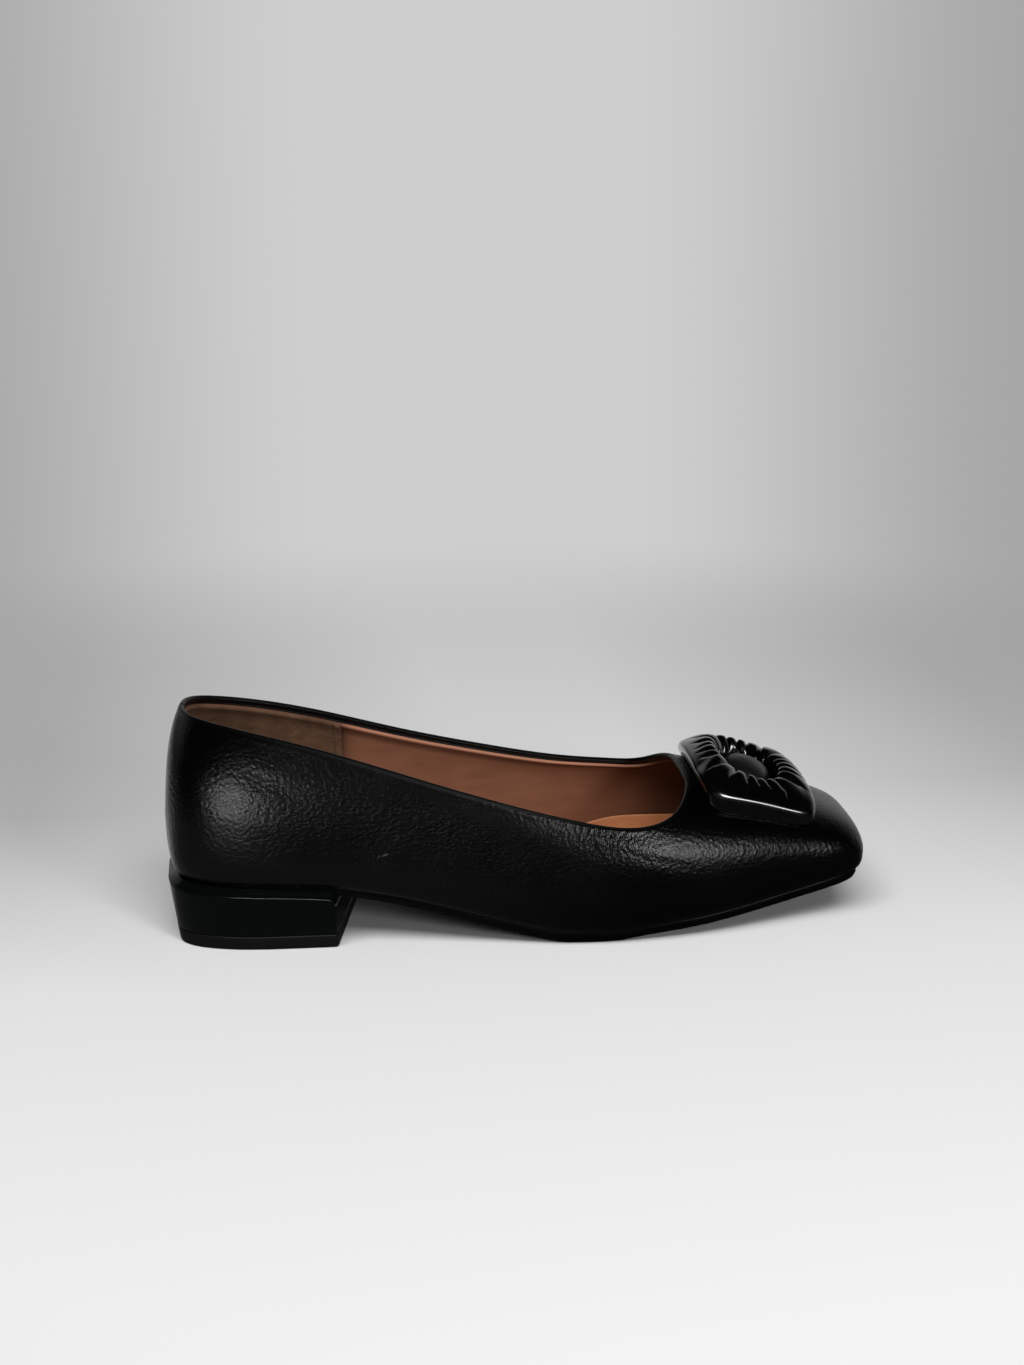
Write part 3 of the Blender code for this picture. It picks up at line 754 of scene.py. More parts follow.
# Leather of the upper, folded over the topline. bandDepth, bandOffset: profile of the turned-in band.
upperShape = {
    "skin": 0.85,              # leather behind the lining
    "backSteps": 14,
    "foldRise": 0.75,
    "foldSteps": 11,
    "rollHeight": 0.07,        # the doubled edge stands proud outside
    "rollDepth": 3.2,
    "rollAt": 0.35,            # its middle and half width, shares of that depth
    "rollHalf": 0.5,
    "rollEase": 1.2,
    "calmTop": (0.5, 5.0),     # creases fade out towards the topline and the foot
    "calmFoot": (1.0, 9.0),
    "pulledFade": (1.3, 0.2),
    "bandDepth": (3.3, 3.1, 2.8, 2.5, 2.15, 1.8, 1.5, 1.3, 1.1, 0.9, 0.65, 0.4, 0.2),
    "bandOffset": (1.0, 1.6, 1.85, 1.92, 1.92, 1.86, 1.72, 1.58, 1.66, 1.8, 1.86, 1.86, 1.82),
}

# Creases and dents of the outside: side, fromX, fromZ, toX, toZ, width, depth (a ridge is negative).
creases = np.array([
    (-1, 28.0, 66.0, 46.0, 58.0, 6.5, 0.140),
    (-1, 20.0, 52.0, 44.0, 47.0, 7.0, -0.095),
    (-1, 58.0, 55.0, 80.0, 44.0, 8.0, 0.095),
    (-1, 96.0, 52.0, 118.0, 40.0, 7.0, -0.14),
    (-1, 120.0, 40.0, 138.0, 27.0, 7.2, 0.09),
    (1, 26.0, 66.0, 48.0, 57.0, 7.0, 0.110),
    (1, 60.0, 55.0, 84.0, 44.0, 8.0, 0.085),
    (1, 122.0, 42.0, 140.0, 28.0, 7.2, 0.08),
    (-1, 150.0, 43.5, 182.0, 35.0, 4.2, 0.07),
    (-1, 148.0, 40.0, 181.0, 31.0, 3.8, -0.07),
    (-1, 150.0, 36.5, 182.0, 28.0, 4.2, 0.08),
    (-1, 156.0, 33.5, 186.0, 24.5, 4.4, -0.06),
    (1, 150.0, 42.0, 182.0, 33.0, 4.4, 0.07),
    (1, 152.0, 37.5, 184.0, 28.0, 4.2, -0.06),
])

# Where a crease's ends fade, as shares of its length, and how far from the ridge it begins.
creaseShape = {"start": (-0.35, 0.3), "end": (1.35, 0.7), "offRidge": (4.0, 14.0)}


# Each crease is a Gaussian across a line from end to end in side view, thinning towards its ends.
def creaseDepth(points):
    total = np.zeros(points.shape[:-1])
    middle = np.interp(points[..., 0], sectionValue["x"], sectionValue["ridge"])
    for side, x0, z0, x1, z1, width, depth in creases:
        run = np.array([x1 - x0, z1 - z0])
        length = np.linalg.norm(run)
        run /= length
        ahead = ((points[..., 0] - x0) * run[0] + (points[..., 2] - z0) * run[1]) / length
        beside = (points[..., 2] - z0) * run[0] - (points[..., 0] - x0) * run[1]
        ends = easeStep(*creaseShape["start"], ahead) * easeStep(*creaseShape["end"], ahead)
        near = easeStep(*creaseShape["offRidge"], (points[..., 1] - middle) * side)
        total += depth * ends * near * np.exp(-(beside / (0.5 * width)) ** 2)
    return total


# One closed section carried round: up behind the lining, over the turned-in band and the fold, and down
# the outside with its creases and the low roll of the doubled edge.
def makeUpper():
    shape = upperShape
    start = shape["bandDepth"][0]
    low = start + (wallDepth[-1] - start) * np.linspace(1.0, 0.0, shape["backSteps"])[:-1, None]
    behind = ringAtDepth(low, shape["skin"])
    band = ringAtDepth(shape["bandDepth"], shape["bandOffset"])
    rise = wall[0] - wall[1]
    rise /= np.linalg.norm(rise, axis=1)[:, None]
    turn = np.linspace(0.0, np.pi, shape["foldSteps"])[:, None, None]
    half = 0.5 * last["wall"]
    fold = wall[0] + wallInward[0] * (half + half * np.cos(turn)) + rise * shape["foldRise"] * np.sin(turn)
    roll = (wallDepth / shape["rollDepth"] - shape["rollAt"]) / shape["rollHalf"]
    roll = shape["rollHeight"] * np.exp(-roll ** 2) * easeStep(0.0, shape["rollEase"], wallDepth)
    overFoot = wall[..., 2] - featherLine(wall[..., 0])
    calm = easeStep(*shape["calmTop"], wallDepth) * easeStep(*shape["calmFoot"], overFoot)
    outside = wall + wallInward * (creaseDepth(wall) * calm - roll)[..., None]
    rows = np.concatenate([behind, band, fold[1:-1], outside])
    faces = gridFaces(len(rows), rows.shape[1], closeRows=True)
    pulled = np.ones(rows.shape[:2])
    pulled[-len(outside):] = easeStep(*shape["pulledFade"], wallDepth)
    return addPiece("upperLeather", rows, faces, finishes["upper"], "upper",
                    {"pulled": pulled})


# Lining with a soft rolled lip under the turned-in band. lipDepth, lipOffset: profile of that lip.
liningShape = {
    "lipDepth": (2.2, 2.05, 2.06, 2.2, 2.5, 2.9, 3.4, 4.1, 5.2, 6.8, 9.0),
    "lipOffset": (1.2, 1.65, 2.1, 2.5, 2.8, 2.85, 2.65, 2.3, 2.02, 1.9, 1.85),
    "insideSteps": 46,
    "backSteps": 14,
    "backOffset": 1.0,
    # painted shade in the hollow under the lip
    "lipShade": 0.45,           # the hollow under the lip
    "hollow": (4.6, 1.3),       # its depth and half width
    # depths over which the painted highlight of the lip comes in
    "lipHighlightFade": (4.1, 2.5),      # depths over which the paler lip comes in
    # painted shade inside the toe
    "toeShade": (150.0, 190.0, 0.66),   # from, to, how dark inside the toe
}


# One closed section carried round: the lip, the inside down to the margin, and back up behind. Painted shade is
# what is left of the light after a painted shadow beside the grip's seam, painted shade in the hollow under the
# lip and painted shade inside the toe; the lip carries a painted highlight.
def makeLining():
    shape = liningShape
    total = wallDepth[-1]
    first, start = shape["lipDepth"][0], shape["lipDepth"][-1]
    inside = start + (total - start) * np.linspace(0.0, 1.0, shape["insideSteps"])[1:, None]
    back = first + (total - first) * np.linspace(1.0, 0.0, shape["backSteps"])[:, None]
    rows = np.concatenate([
        ringAtDepth(shape["lipDepth"], shape["lipOffset"]),
        ringAtDepth(inside, last["wall"]),
        ringAtDepth(back, shape["backOffset"]),
    ])
    faces = gridFaces(len(rows), rows.shape[1], closeRows=True)
    depths = np.concatenate([shape["lipDepth"], np.full(len(inside) + len(back), start)])[:, None]
    # painted shadow of the grip's doubled strip on the lining, fading out ahead of the seam
    ahead = rows[..., 0] - gripShape["seamTop"] - gripShape["seamLean"] * (depths - gripShape["top"])
    seam = gripShape["seamShadow"] * np.exp(-np.clip(ahead, 0.0, None) / gripShape["shadeReach"])
    # painted shade in the hollow under the lip and inside the toe
    middle, width = shape["hollow"]
    hollow = shape["lipShade"] * np.exp(-((depths - middle) / width) ** 2)
    begin, end, dark = shape["toeShade"]
    toe = dark * easeStep(begin, end, rows[..., 0])
    shade = 1.0 - (1.0 - seam) * (1.0 - hollow) * (1.0 - toe)
    # painted highlight along the lip
    lip = np.broadcast_to(easeStep(*shape["lipHighlightFade"], depths), shade.shape)
    return addPiece("lining", rows, faces, finishes["lining"], "upper",
                    {"shade": shade, "lip": lip})


# Front and back grids of the same size closed along their borders: a thin cushion-like patch.
def patchFaces(rows, columns):
    count = rows * columns
    front = gridFaces(rows, columns, closeColumns=False)
    back = front[:, ::-1] + count
    c, r = np.arange(columns - 1), np.arange(rows - 1)
    top = np.stack([c + 1, c, c + count, c + 1 + count], -1)
    base = (rows - 1) * columns
    low = np.stack([base + c, base + c + 1, base + c + 1 + count, base + c + count], -1)
    left = np.stack([r * columns, (r + 1) * columns, (r + 1) * columns + count, r * columns + count], -1)
    far = columns - 1
    right = np.stack([(r + 1) * columns + far, r * columns + far, r * columns + far + count,
                      (r + 1) * columns + far + count], -1)
    return np.concatenate([front, back, top, low, left, right])


# Heel grip: a suede patch round the back of the lining, its front edges stitched down.
gripShape = {
    "seamTop": 63.4,      # front edge from the back of the upper, at the topline
    "seamLean": 0.04,     # the edge runs forward by this for each millimetre down
    "thick": 0.6,
    "behind": 0.35,       # its back lies this far into the lining
    "stripRise": 0.6,     # the front edge is folded double
    "stripWide": 2.3,
    "stripFade": (0.25, -0.45),
    "edgeWidth": 0.5,
    "top": 2.2,
    "topStart": 0.25,
    "footRows": 3,        # rows left free over the lasting margin
    "sideShare": 0.2,     # column, as a share of one side's, where depths along the seam are read
    "girthRow": 10,
    "rows": 54,
    "columns": 260,
    "crowd": 0.1,         # columns close up towards the seams
    "stitchIn": 2.4,      # stitch line from the edge
    "stitchSink": (0.34, 0.4),     # depth and half width of the groove under it
    "stitchFrom": 0.9,
    "stitchTo": 46.0,
    "stitchPitch": 1.9,
    "stitchLong": 1.2,
    "stitchThick": 0.2,
    "stitchArch": (0.32, -0.14),   # height of the arch, and its ends over the suede
    "stitchSteps": 9,
    "stitchSides": 8,
    "stitchTip": 0.98,
    # painted shadow of the grip's doubled strip on the lining, ahead of the seam: its reach and strength
    "shadeReach": 2.4,    # the lining is darker just ahead of the seam
    "seamShadow": 0.7,
}


# Column of the wall, on each side, where a row has a given x: the row's own line of x read backwards.
def columnAtX(row, x, side):
    ring = -side * np.arange(wallGrid["columns"] // 2, dtype=float)
    found = []
    for r, target in zip(row, x):
        line = wallAt(np.full(len(ring), r), ring, np.zeros(len(ring)))
        found.append(np.interp(target, line[:, 0], ring))
    return np.array(found)


# Offset of the lining under the grip at a depth, from the lip's profile.
def gripOffset(depth):
    return np.interp(depth, liningShape["lipDepth"][2:], liningShape["lipOffset"][2:])


# Rows down from the topline, columns crowded towards both seams; the face is a thickness over the lining
# that rounds off at its edges, is doubled along the strip and sinks under the stitches.
def makeHeelGrip():
    shape = gripShape
    total = wallDepth[len(wall) - wallGrid["marginRows"] - shape["footRows"]]
    share = np.linspace(0.0, 1.0, shape["rows"])
    sideColumn = np.full(shape["rows"], int(wallGrid["columns"] * shape["sideShare"]))
    rowSide = rowsAtDepth(shape["top"] + (total[sideColumn] - shape["top"]) * share, sideColumn)
    seamX = shape["seamTop"] + shape["seamLean"] * (total[0] - shape["top"]) * share
    first = columnAtX(rowSide, seamX, -1)
    final = columnAtX(rowSide, seamX, 1)
    turns = np.arange(int(final.mean()) - 1, int(first.mean()) + 2) % wall.shape[1]
    girth = np.linalg.norm(np.diff(wall[shape["girthRow"], turns], axis=0), axis=1).sum()
    ease = np.linspace(-1.0, 1.0, shape["columns"])
    crowd = shape["crowd"]
    across = 0.5 + 0.5 * np.sin(0.5 * np.pi * ease) * (1.0 - crowd) + 0.5 * ease * crowd
    column = first[:, None] + (final - first)[:, None] * across
    reach = total[np.round(column).astype(int) % wall.shape[1]] - shape["top"]
    depth = shape["top"] + reach * share[:, None]
    rows = rowsAtDepth(depth, column)
    gap = np.minimum(across, 1.0 - across) * girth
    inside = np.minimum(gap[None], depth - shape["top"] + shape["topStart"])
    edge = np.clip(inside / shape["edgeWidth"], 0.0, 1.0)
    swell = np.sqrt(1.0 - (1.0 - edge) ** 2)
    strip = easeStep(*(shape["stripWide"] + fade for fade in shape["stripFade"]), gap)[None]
    sink, width = shape["stitchSink"]
    groove = sink * np.exp(-((gap - shape["stitchIn"]) / width) ** 2)[None]
    base = gripOffset(depth)
    front = wallAt(rows, column, base + (shape["thick"] + shape["stripRise"] * strip) * swell - groove)
    back = wallAt(rows, column, base - shape["behind"])
    points = np.concatenate([front.reshape(-1, 3), back.reshape(-1, 3)])
    faces = patchFaces(shape["rows"], shape["columns"])
    return addPiece("heelGrip", points, faces, finishes["grip"], "upper")


# Stitches: each a short thread rising out of the suede and back, a circle carried along a low arch.
def makeGripStitches():
    shape = gripShape
    steps, sides = shape["stitchSteps"], shape["stitchSides"]
    depth = np.arange(shape["top"] + shape["stitchFrom"], shape["stitchTo"], shape["stitchPitch"])
    sideColumn = int(wallGrid["columns"] * shape["sideShare"])
    arch, ends = shape["stitchArch"]
    lines = []
    for side, ring in ((-1, sideColumn), (1, wall.shape[1] - sideColumn)):
        for part in np.linspace(-0.5, 0.5, steps):
            at = depth + part * shape["stitchLong"]
            row = rowsAtDepth(at, np.full(len(at), ring))
            x = shape["seamTop"] - shape["stitchIn"] + shape["seamLean"] * (at - shape["top"])
            lift = arch * (1.0 - (2.0 * part) ** 4) + ends
            lines.append(wallAt(row, columnAtX(row, x, side), gripOffset(at) + shape["thick"] + lift))
    half = np.array(lines).reshape(2, steps, -1, 3)
    path = np.concatenate([half[0], half[1]], axis=1).transpose(1, 0, 2)
    tangent = np.gradient(path, axis=1)
    tangent /= np.linalg.norm(tangent, axis=2)[..., None]
    sideways = np.cross(tangent, (1.0, 0.0, 0.0))
    sideways /= np.linalg.norm(sideways, axis=2)[..., None]
    other = np.cross(tangent, sideways)
    angle = 2.0 * np.pi * np.arange(sides)[:, None] / sides
    circle = sideways[:, :, None] * np.cos(angle) + other[:, :, None] * np.sin(angle)
    tip = np.linspace(-shape["stitchTip"], shape["stitchTip"], steps)
    radius = shape["stitchThick"] * np.sqrt(1.0 - tip ** 6)
    tube = path[:, :, None] + circle * radius[:, None, None]
    per = steps * sides
    body = gridFaces(steps, sides)
    caps = [list(range(sides))[::-1], list(range(per - sides, per))]
    faces = []
    for start in range(0, len(path) * per, per):
        faces += (body + start).tolist() + [[i + start for i in cap] for cap in caps]
    return addPiece("gripStitches", tube, faces, finishes["thread"], "upper")


makeUpper()
makeLining()
makeHeelGrip()
makeGripStitches()
print("upper done")


# Ring of the plan outline stood in by a function of x and side, at a height over x.
def planRing(standIn, height):
    shares = placeShares(wallGrid["columns"])[1]
    halves = []
    for side in (-1, 1):
        line, inward = outlineAt(side, shares)
        plan = line[:, :2] + inward * standIn(line[:, 0], side)[:, None]
        halves.append(np.column_stack([plan, height(plan[:, 0])]))
    return joinSides(*halves)


# Outsole edge from the top down: standIn past the edge line, height over the underside or top.
soleShape = {
    "out": ((0.0, 0.0), (0.24, 0.0), (0.32, 0.8), (0.60, 1.0), (0.90, 0.8), (1.0, 0.4)),
    "edge": (
        # stand in, from top (1) or from bottom (0), height
        (3.0, 1, 0.0), (0.35, 1, 0.0), (0.1, 1, -0.1), (0.0, 1, -0.32), (0.0, 0, 1.28), (0.06, 0, 1.12),
        (0.42, 0, 1.02), (0.5, 0, 0.92), (0.5, 0, 0.42), (0.56, 0, 0.2), (0.74, 0, 0.05), (1.1, 0, 0.0),
        (4.0, 0, 0.0),
    ),
}


# How far the sole stands out from the upper's lower edge, straight between the table's stations.
def soleOut(x):
    table = np.array(soleShape["out"])
    return np.interp(x / last["length"], table[:, 0], table[:, 1])


# The edge's profile carried round the outline, top and tread closed.
def makeOutsole():
    rows = []
    for stand, fromTop, height in soleShape["edge"]:
        level = soleTop if fromTop else soleBottom
        rows.append(planRing(lambda x, side: tuckIn(x, side) - soleOut(x) + stand, lambda x: level(x) + height))
    rows = np.array(rows)
    return addPiece("outsole", rows, ladderClosed(rows), finishes["sole"], "outsole")


# Sock over its board: a shallow bowl that climbs the turn of the wall, highest beside the ball.
# rim: x from the back, and the wall's row where the edge lies (84 is the widest line, 100 the foot).
sockShape = {
    "thick": 2.0,
    "sheet": 0.9,
    "clear": 0.15,
    "blend": 2.2,          # height over which bowl and flat run together
    "blendReach": 4.0,     # height over the flat from which the bowl is left alone
    "rim": ((0.0, 97.5), (60.0, 96.5), (95.0, 94.0), (125.0, 88.5), (152.0, 85.2), (166.0, 84.4), (215.0, 84.4),
            (236.0, 90.0), (250.0, 93.0)),
    "rimSoft": 4.0,        # columns that the rim is blurred over
    "outsideRows": 8,
    "lipSteps": 7,
    "lipRise": 0.12,       # share of the way down that gives the lip its direction
    "rows": 22,
    "flatStands": (3.6, 4.8),   # rings of the flat, stood in from the foot
    "flatDrop": 1.0,
}


# Rows climb from under the rim along the wall, round the rim, and down into the bowl, whose height is
# the smooth larger of the wall's own and the flat sock's.
def makeSock():
    shape = sockShape
    table = np.array(shape["rim"])
    foot = float(wallGrid["rows"] + wallGrid["underRows"])
    top = softRing(np.interp(wall[wallGrid["rows"], :, 0], table[:, 0], table[:, 1]), shape["rimSoft"])
    columns = np.arange(wall.shape[1], dtype=float)

    def flat(x):
        return featherLine(x) + last["wall"] + last["glue"] + shape["thick"]

    def along(share, offset):
        row = top + (foot - top) * share
        return wallAt(row, columns, np.full(len(columns), last["wall"] + shape["clear"] + offset))

    def flatRing(stand):
        return planRing(lambda x, side: tuckIn(x, side) + stand, lambda x: flat(x) - shape["flatDrop"])

    outside = [along(share, 0.0) for share in np.linspace(1.0, 0.0, shape["outsideRows"])]
    edge = along(0.0, 0.5 * shape["sheet"])
    across = 0.5 * (along(0.0, shape["sheet"]) - along(0.0, 0.0))
    rise = along(0.0, 0.0) - along(shape["lipRise"], 0.0)
    rise *= 0.5 * shape["sheet"] / np.linalg.norm(rise, axis=1)[:, None]
    turn = np.linspace(0.0, np.pi, shape["lipSteps"])[1:-1, None, None]
    lip = edge - across * np.cos(turn) + rise * np.sin(turn)
    inside = [along(share, shape["sheet"]) for share in np.linspace(0.0, 1.0, shape["rows"])]
    inside = np.array(inside + [flatRing(stand) for stand in shape["flatStands"]])
    over = inside[..., 2] - flat(inside[..., 0])
    lifted = 0.5 * (np.sqrt(over ** 2 + shape["blend"] ** 2) - over)
    inside[..., 2] += lifted * easeStep(shape["blendReach"], 0.0, over)
    rows = np.concatenate([outside, lip, inside])
    return addPiece("sock", rows, ladderClosed(rows), finishes["sock"], "insole")


makeOutsole()
makeSock()
print("sole done")

# Heel. Its levels are stand-ins from the widest line, at the sides and at the back.
heelShape = {
    "breastAt": 58.0,
    "breastSide": -29.0,
    "breastSkew": 0.21,
    "corner": 1.0,          # rounding of the breast's upright corners
    "cornerShare": 0.8,     # share of it over which the breast's height comes in
    "liftTop": 5.2,
    "points": 560,
    "searched": 0.5,        # share of the outline, from the back, that holds the heel
    "searchSteps": 1200,
    "sideSteps": 500,
    "floor": (5.4, 3.0),
    "lift": (4.6, 2.4),
    "edge": (0.3, 0.0),
    "rim": (3.2, 3.2),
    "cup": (4.1, 4.1),
    # foot of the block: over the lift, share of the breast, stood in
    "footRows": ((0.10, 0.01, 0.70), (0.14, 0.02, 0.28), (0.36, 0.04, 0.03)),
    # sides: shares of the way from lift to edge, their top under the sole's, breast at the foot and gain
    "sideRows": (0.06, 0.3, 0.55, 0.8, 0.95),
    "sideTop": 3.3,
    "sideBreast": (0.04, 0.72),
    # shoulder: from level, to level, blend, under the sole's top, share of the breast, stood in
    "shoulderRows": (
        ("edge", "edge", 0.0, 3.10, 0.78, 0.0), ("edge", "edge", 0.0, 2.86, 0.80, 0.08),
        ("edge", "edge", 0.0, 2.66, 0.82, 0.30), ("edge", "edge", 0.0, 2.52, 0.84, 0.66),
        ("edge", "rim", 0.5, 1.66, 0.88, 0.0), ("edge", "rim", 0.92, 0.66, 0.92, 0.0),
        ("rim", "rim", 0.0, 0.50, 0.94, 0.1), ("cup", "cup", 0.0, 0.50, 0.96, 0.0),
    ),
    "cupBreast": 0.985,
    # top lift: blend from floor to lift, stood in, height
    "liftRows": (
        (0.0, 1.2, 0.0), (0.0, 0.6, 0.0), (0.0, 0.25, 0.14), (0.0, 0.04, 0.45), (0.0, 0.0, 0.8),
        (0.5, 0.0, 2.8), (1.0, 0.0, 4.7), (1.0, 0.06, 4.95), (1.0, 0.3, 5.12), (1.0, 0.7, 5.16),
    ),
}


# Closed plan of a level: both sides back from the breast line, cut straight across, corners blurred.
def heelRing(level, extra):
    shape = heelShape
    standSide, standBack = level
    halves = []
    for side in (-1, 1):
        line, inward = outlineAt(side, np.linspace(0.0, shape["searched"], shape["searchSteps"]))
        stand = standBack + (standSide - standBack) * inward[:, 1] ** 2 + extra
        plan = line[:, :2] + inward * stand[:, None]
        skew = shape["breastSkew"] * (plan[:, 1] - shape["breastSide"])
        ahead = plan[:, 0] - shape["breastAt"] + extra - skew
        way = alongShare(plan)
        shares = np.linspace(0.0, np.interp(0.0, ahead, way), shape["sideSteps"])
        halves.append(readColumns(shares, way, plan))
    closed = np.concatenate([halves[0][::-1], halves[1][1:], halves[0][-1:]])
    way = alongShare(closed)
    share = np.linspace(0.0, 1.0, shape["points"], endpoint=False)
    perimeter = np.linalg.norm(np.diff(closed, axis=0), axis=1).sum()
    width = shape["corner"] * shape["points"] / perimeter
    breast = softRing((share > way[-2]).astype(float), width * shape["cornerShare"])
    return softRing(readColumns(share, way, closed), width), np.clip(breast, 0.0, 1.0)


# A level's heights: its own at sides and back, a share of the breast's height across the breast.
def heelRow(level, height, share, extra=0.0):
    plan, breast = heelRing(level, extra)
    side = height(plan[:, 0])
    foot = heelShape["liftTop"]
    front = foot + (soleBottom(plan[:, 0]) - last["glue"] - foot) * share
    return np.column_stack([plan, side + (front - side) * breast])


# Stand-ins part of the way from one level to another.
def blendLevel(first, second, share):
    return tuple(a + (b - a) * share for a, b in zip(first, second))


# Rings of one count, both ends closed by fans about their own middles.
def closeRings(name, rows, finish, node):
    rows = np.array(rows)
    count = rows.shape[1]
    low, high = rows[0].mean(0), rows[-1].mean(0)
    faces = gridFaces(len(rows), count).tolist()
    total = len(rows) * count
    faces += [f[::-1] for f in fanFaces(0, count, total)] + fanFaces(total - count, count, total + 1)
    return addPiece(name, np.concatenate([rows.reshape(-1, 3), [low, high]]), faces, finish, node)


# Levels from the lift up: rounded foot, flared sides, shoulder, rim, and the cup under the sole's seat.
def makeHeelBlock():
    shape = heelShape
    foot = shape["liftTop"]
    rows = []
    for over, share, extra in shape["footRows"]:
        rows.append(heelRow(shape["lift"], lambda x: np.full(len(x), foot + over), share, extra))
    low, gain = shape["sideBreast"]
    for share in shape["sideRows"]:
        level = blendLevel(shape["lift"], shape["edge"], share)
        rows.append(heelRow(level, lambda x: foot + (soleTop(x) - shape["sideTop"] - foot) * share,
                            low + gain * share))
    for first, second, blend, under, share, extra in shape["shoulderRows"]:
        level = blendLevel(shape[first], shape[second], blend)
        rows.append(heelRow(level, lambda x: soleTop(x) - under, share, extra))
    rows.append(heelRow(shape["cup"], lambda x: soleBottom(x) - last["glue"], shape["cupBreast"]))
    return closeRings("heelBlock", rows, finishes["heel"], "heel_block")


# Levels from the floor up; the lift's breast is upright, so each keeps one height all round.
def makeTopLift():
    shape = heelShape
    rows = []
    for blend, extra, z in shape["liftRows"]:
        plan = heelRing(blendLevel(shape["floor"], shape["lift"], blend), extra)[0]
        rows.append(np.column_stack([plan, np.full(len(plan), z)]))
    return closeRings("topLift", rows, finishes["lift"], "heel_top_lift")


makeHeelBlock()
makeTopLift()
print("heel done")

# Ornament: a stuffed square ring of patent, gathered into pleats round an oval hole.
padShape = {
    "centre": (209.3, -1.5),
    "half": (21.7, 25.0),
    "taper": 0.10,
    "outerTaper": 0.075,
    "squareness": 7.0,
    "lean": 0.10,         # higher towards the inner side
    "toeThin": 0.20,      # the outer side thins towards the toe
    "hole": (10.0, 13.2),
    "clear": 0.3,
    "swing": 0.14,        # turn of the pleats towards the rim, radians
    "pleatHeight": 1.8,
    "columns": 720,
    "rows": 84,
    "fill": 0.85,
    "ringWidth": 15.0,    # hole to edge, for the spacing of the profiles' knots
    "outerTurn": (-0.35, -0.8),    # sines between which the outer profile comes in
    "backTurn": (0.45, -0.25),     # cosines between which the back profile comes in
    "underRows": 10,
    "wander": ((2.2, 3.0, 5.0, 0.0), (1.6, 7.0, -7.0, 1.3)),   # degrees, waves round, waves out, lead
    "pleatTilt": 0.09,
    "ridgePower": (0.6, 0.9),      # at the hole, and its gain along the pleat
    "fadePower": 1.5,
    # way from hole to edge, height over the vamp, gather
    "profile": (
        (0.03, 0.00, 0.0), (0.00, 2.60, 0.5), (0.03, 4.90, 0.85), (0.12, 6.90, 1.0), (0.28, 8.30, 1.0),
        (0.50, 8.80, 1.0), (0.70, 8.30, 1.0), (0.85, 7.35, 1.0), (0.94, 6.30, 1.0), (0.99, 4.70, 0.5),
        (1.00, 2.90, 0.0), (0.975, 1.10, 0.0), (0.93, 0.00, 0.0),
    ),
    # the same at the back, with its crest by the hole and a long slope out
    "backProfile": (
        (0.03, 0.00, 0.0), (0.00, 2.60, 0.5), (0.02, 5.00, 0.85), (0.09, 7.40, 1.0), (0.19, 8.80, 1.0),
        (0.31, 9.15, 1.0), (0.50, 8.40, 1.0), (0.72, 6.85, 1.0), (0.90, 5.30, 1.0), (0.98, 3.90, 0.5),
        (1.00, 2.40, 0.0), (0.975, 0.95, 0.0), (0.93, 0.00, 0.0),
    ),
    # the same on the outer side, flat-topped with a firm crest
    "outerProfile": (
        (0.03, 0.00, 0.0), (0.00, 2.60, 0.5), (0.03, 4.90, 0.85), (0.12, 6.90, 1.0), (0.28, 8.10, 1.0),
        (0.50, 8.40, 1.0), (0.70, 8.10, 1.0), (0.87, 7.70, 1.0), (0.955, 7.15, 1.0), (0.992, 5.80, 0.5),
        (0.999, 3.60, 0.0), (0.99, 1.20, 0.0), (0.95, 0.00, 0.0),
    ),
}

# Valleys between pleats: angle in degrees about the hole (0 at the toe side, 90 at the inner side),
# height of the pleat that follows as a share, how far it reaches from hole to rim.
pleats = np.array([
    (8.5, 1.05, 1.20), (22.0, 0.90, 1.12), (38.5, 1.15, 1.18), (53.0, 0.95, 1.10), (71.5, 1.10, 1.05),
    (89.0, 1.00, 0.98), (109.5, 1.15, 1.00), (125.5, 0.95, 0.90), (142.5, 0.95, 0.86), (156.0, 0.70, 0.76),
    (171.0, 0.95, 0.88), (188.5, 0.75, 0.78), (202.0, 0.95, 0.86), (219.0, 0.80, 0.76), (234.0, 1.00, 0.70),
    (251.5, 1.20, 0.62), (269.5, 0.95, 0.54), (288.0, 1.20, 0.62), (305.5, 1.05, 0.86), (322.5, 1.10, 1.06),
    (337.0, 1.00, 1.14), (353.0, 1.10, 1.18),
])


# Angle on the hole that a place belongs to: pleats swing square to the nearest side on their way out,
# a fourfold sine that leaves the middles of the sides and the corners where they are.
def pleatAngle(angle, way):
    return angle + padShape["swing"] * way * np.sin(4.0 * angle)


# Pleat height by angle and way: between neighbouring valleys a tilted half sine to a low power,
# so ridges are round and valleys sharp, fading out at each pleat's own reach.
def pleatHeight(angle, way, gather):
    shape = padShape
    valley = np.concatenate([pleats[:, 0] + turn for turn in (-360.0, 0.0, 360.0)])
    wander = sum(size * np.sin(turns * angle + runs * way + lead) for size, turns, runs, lead in shape["wander"])
    phase = np.interp(np.degrees(angle) + wander * way, valley, np.arange(len(valley), dtype=float))
    number = np.floor(phase).astype(int) % len(pleats)
    share = phase - np.floor(phase)
    share = share + shape["pleatTilt"] * np.sin(2.0 * np.pi * share)
    span = np.clip(way / pleats[number, 2], 0.0, 1.0)
    power, gain = shape["ridgePower"]
    ridge = np.sin(np.pi * np.clip(share, 0.0, 1.0)) ** (power + gain * span)
    fade = (1.0 - span ** 2) ** shape["fadePower"]
    return shape["pleatHeight"] * gather * fade * pleats[number, 1] * (ridge - 0.5)


# Plan places lifted by a height over the vamp.
def onVamp(plan, height):
    z = vampHeight(plan[..., 0], plan[..., 1]) + padShape["clear"] + height
    return np.concatenate([plan, z[..., None]], -1)


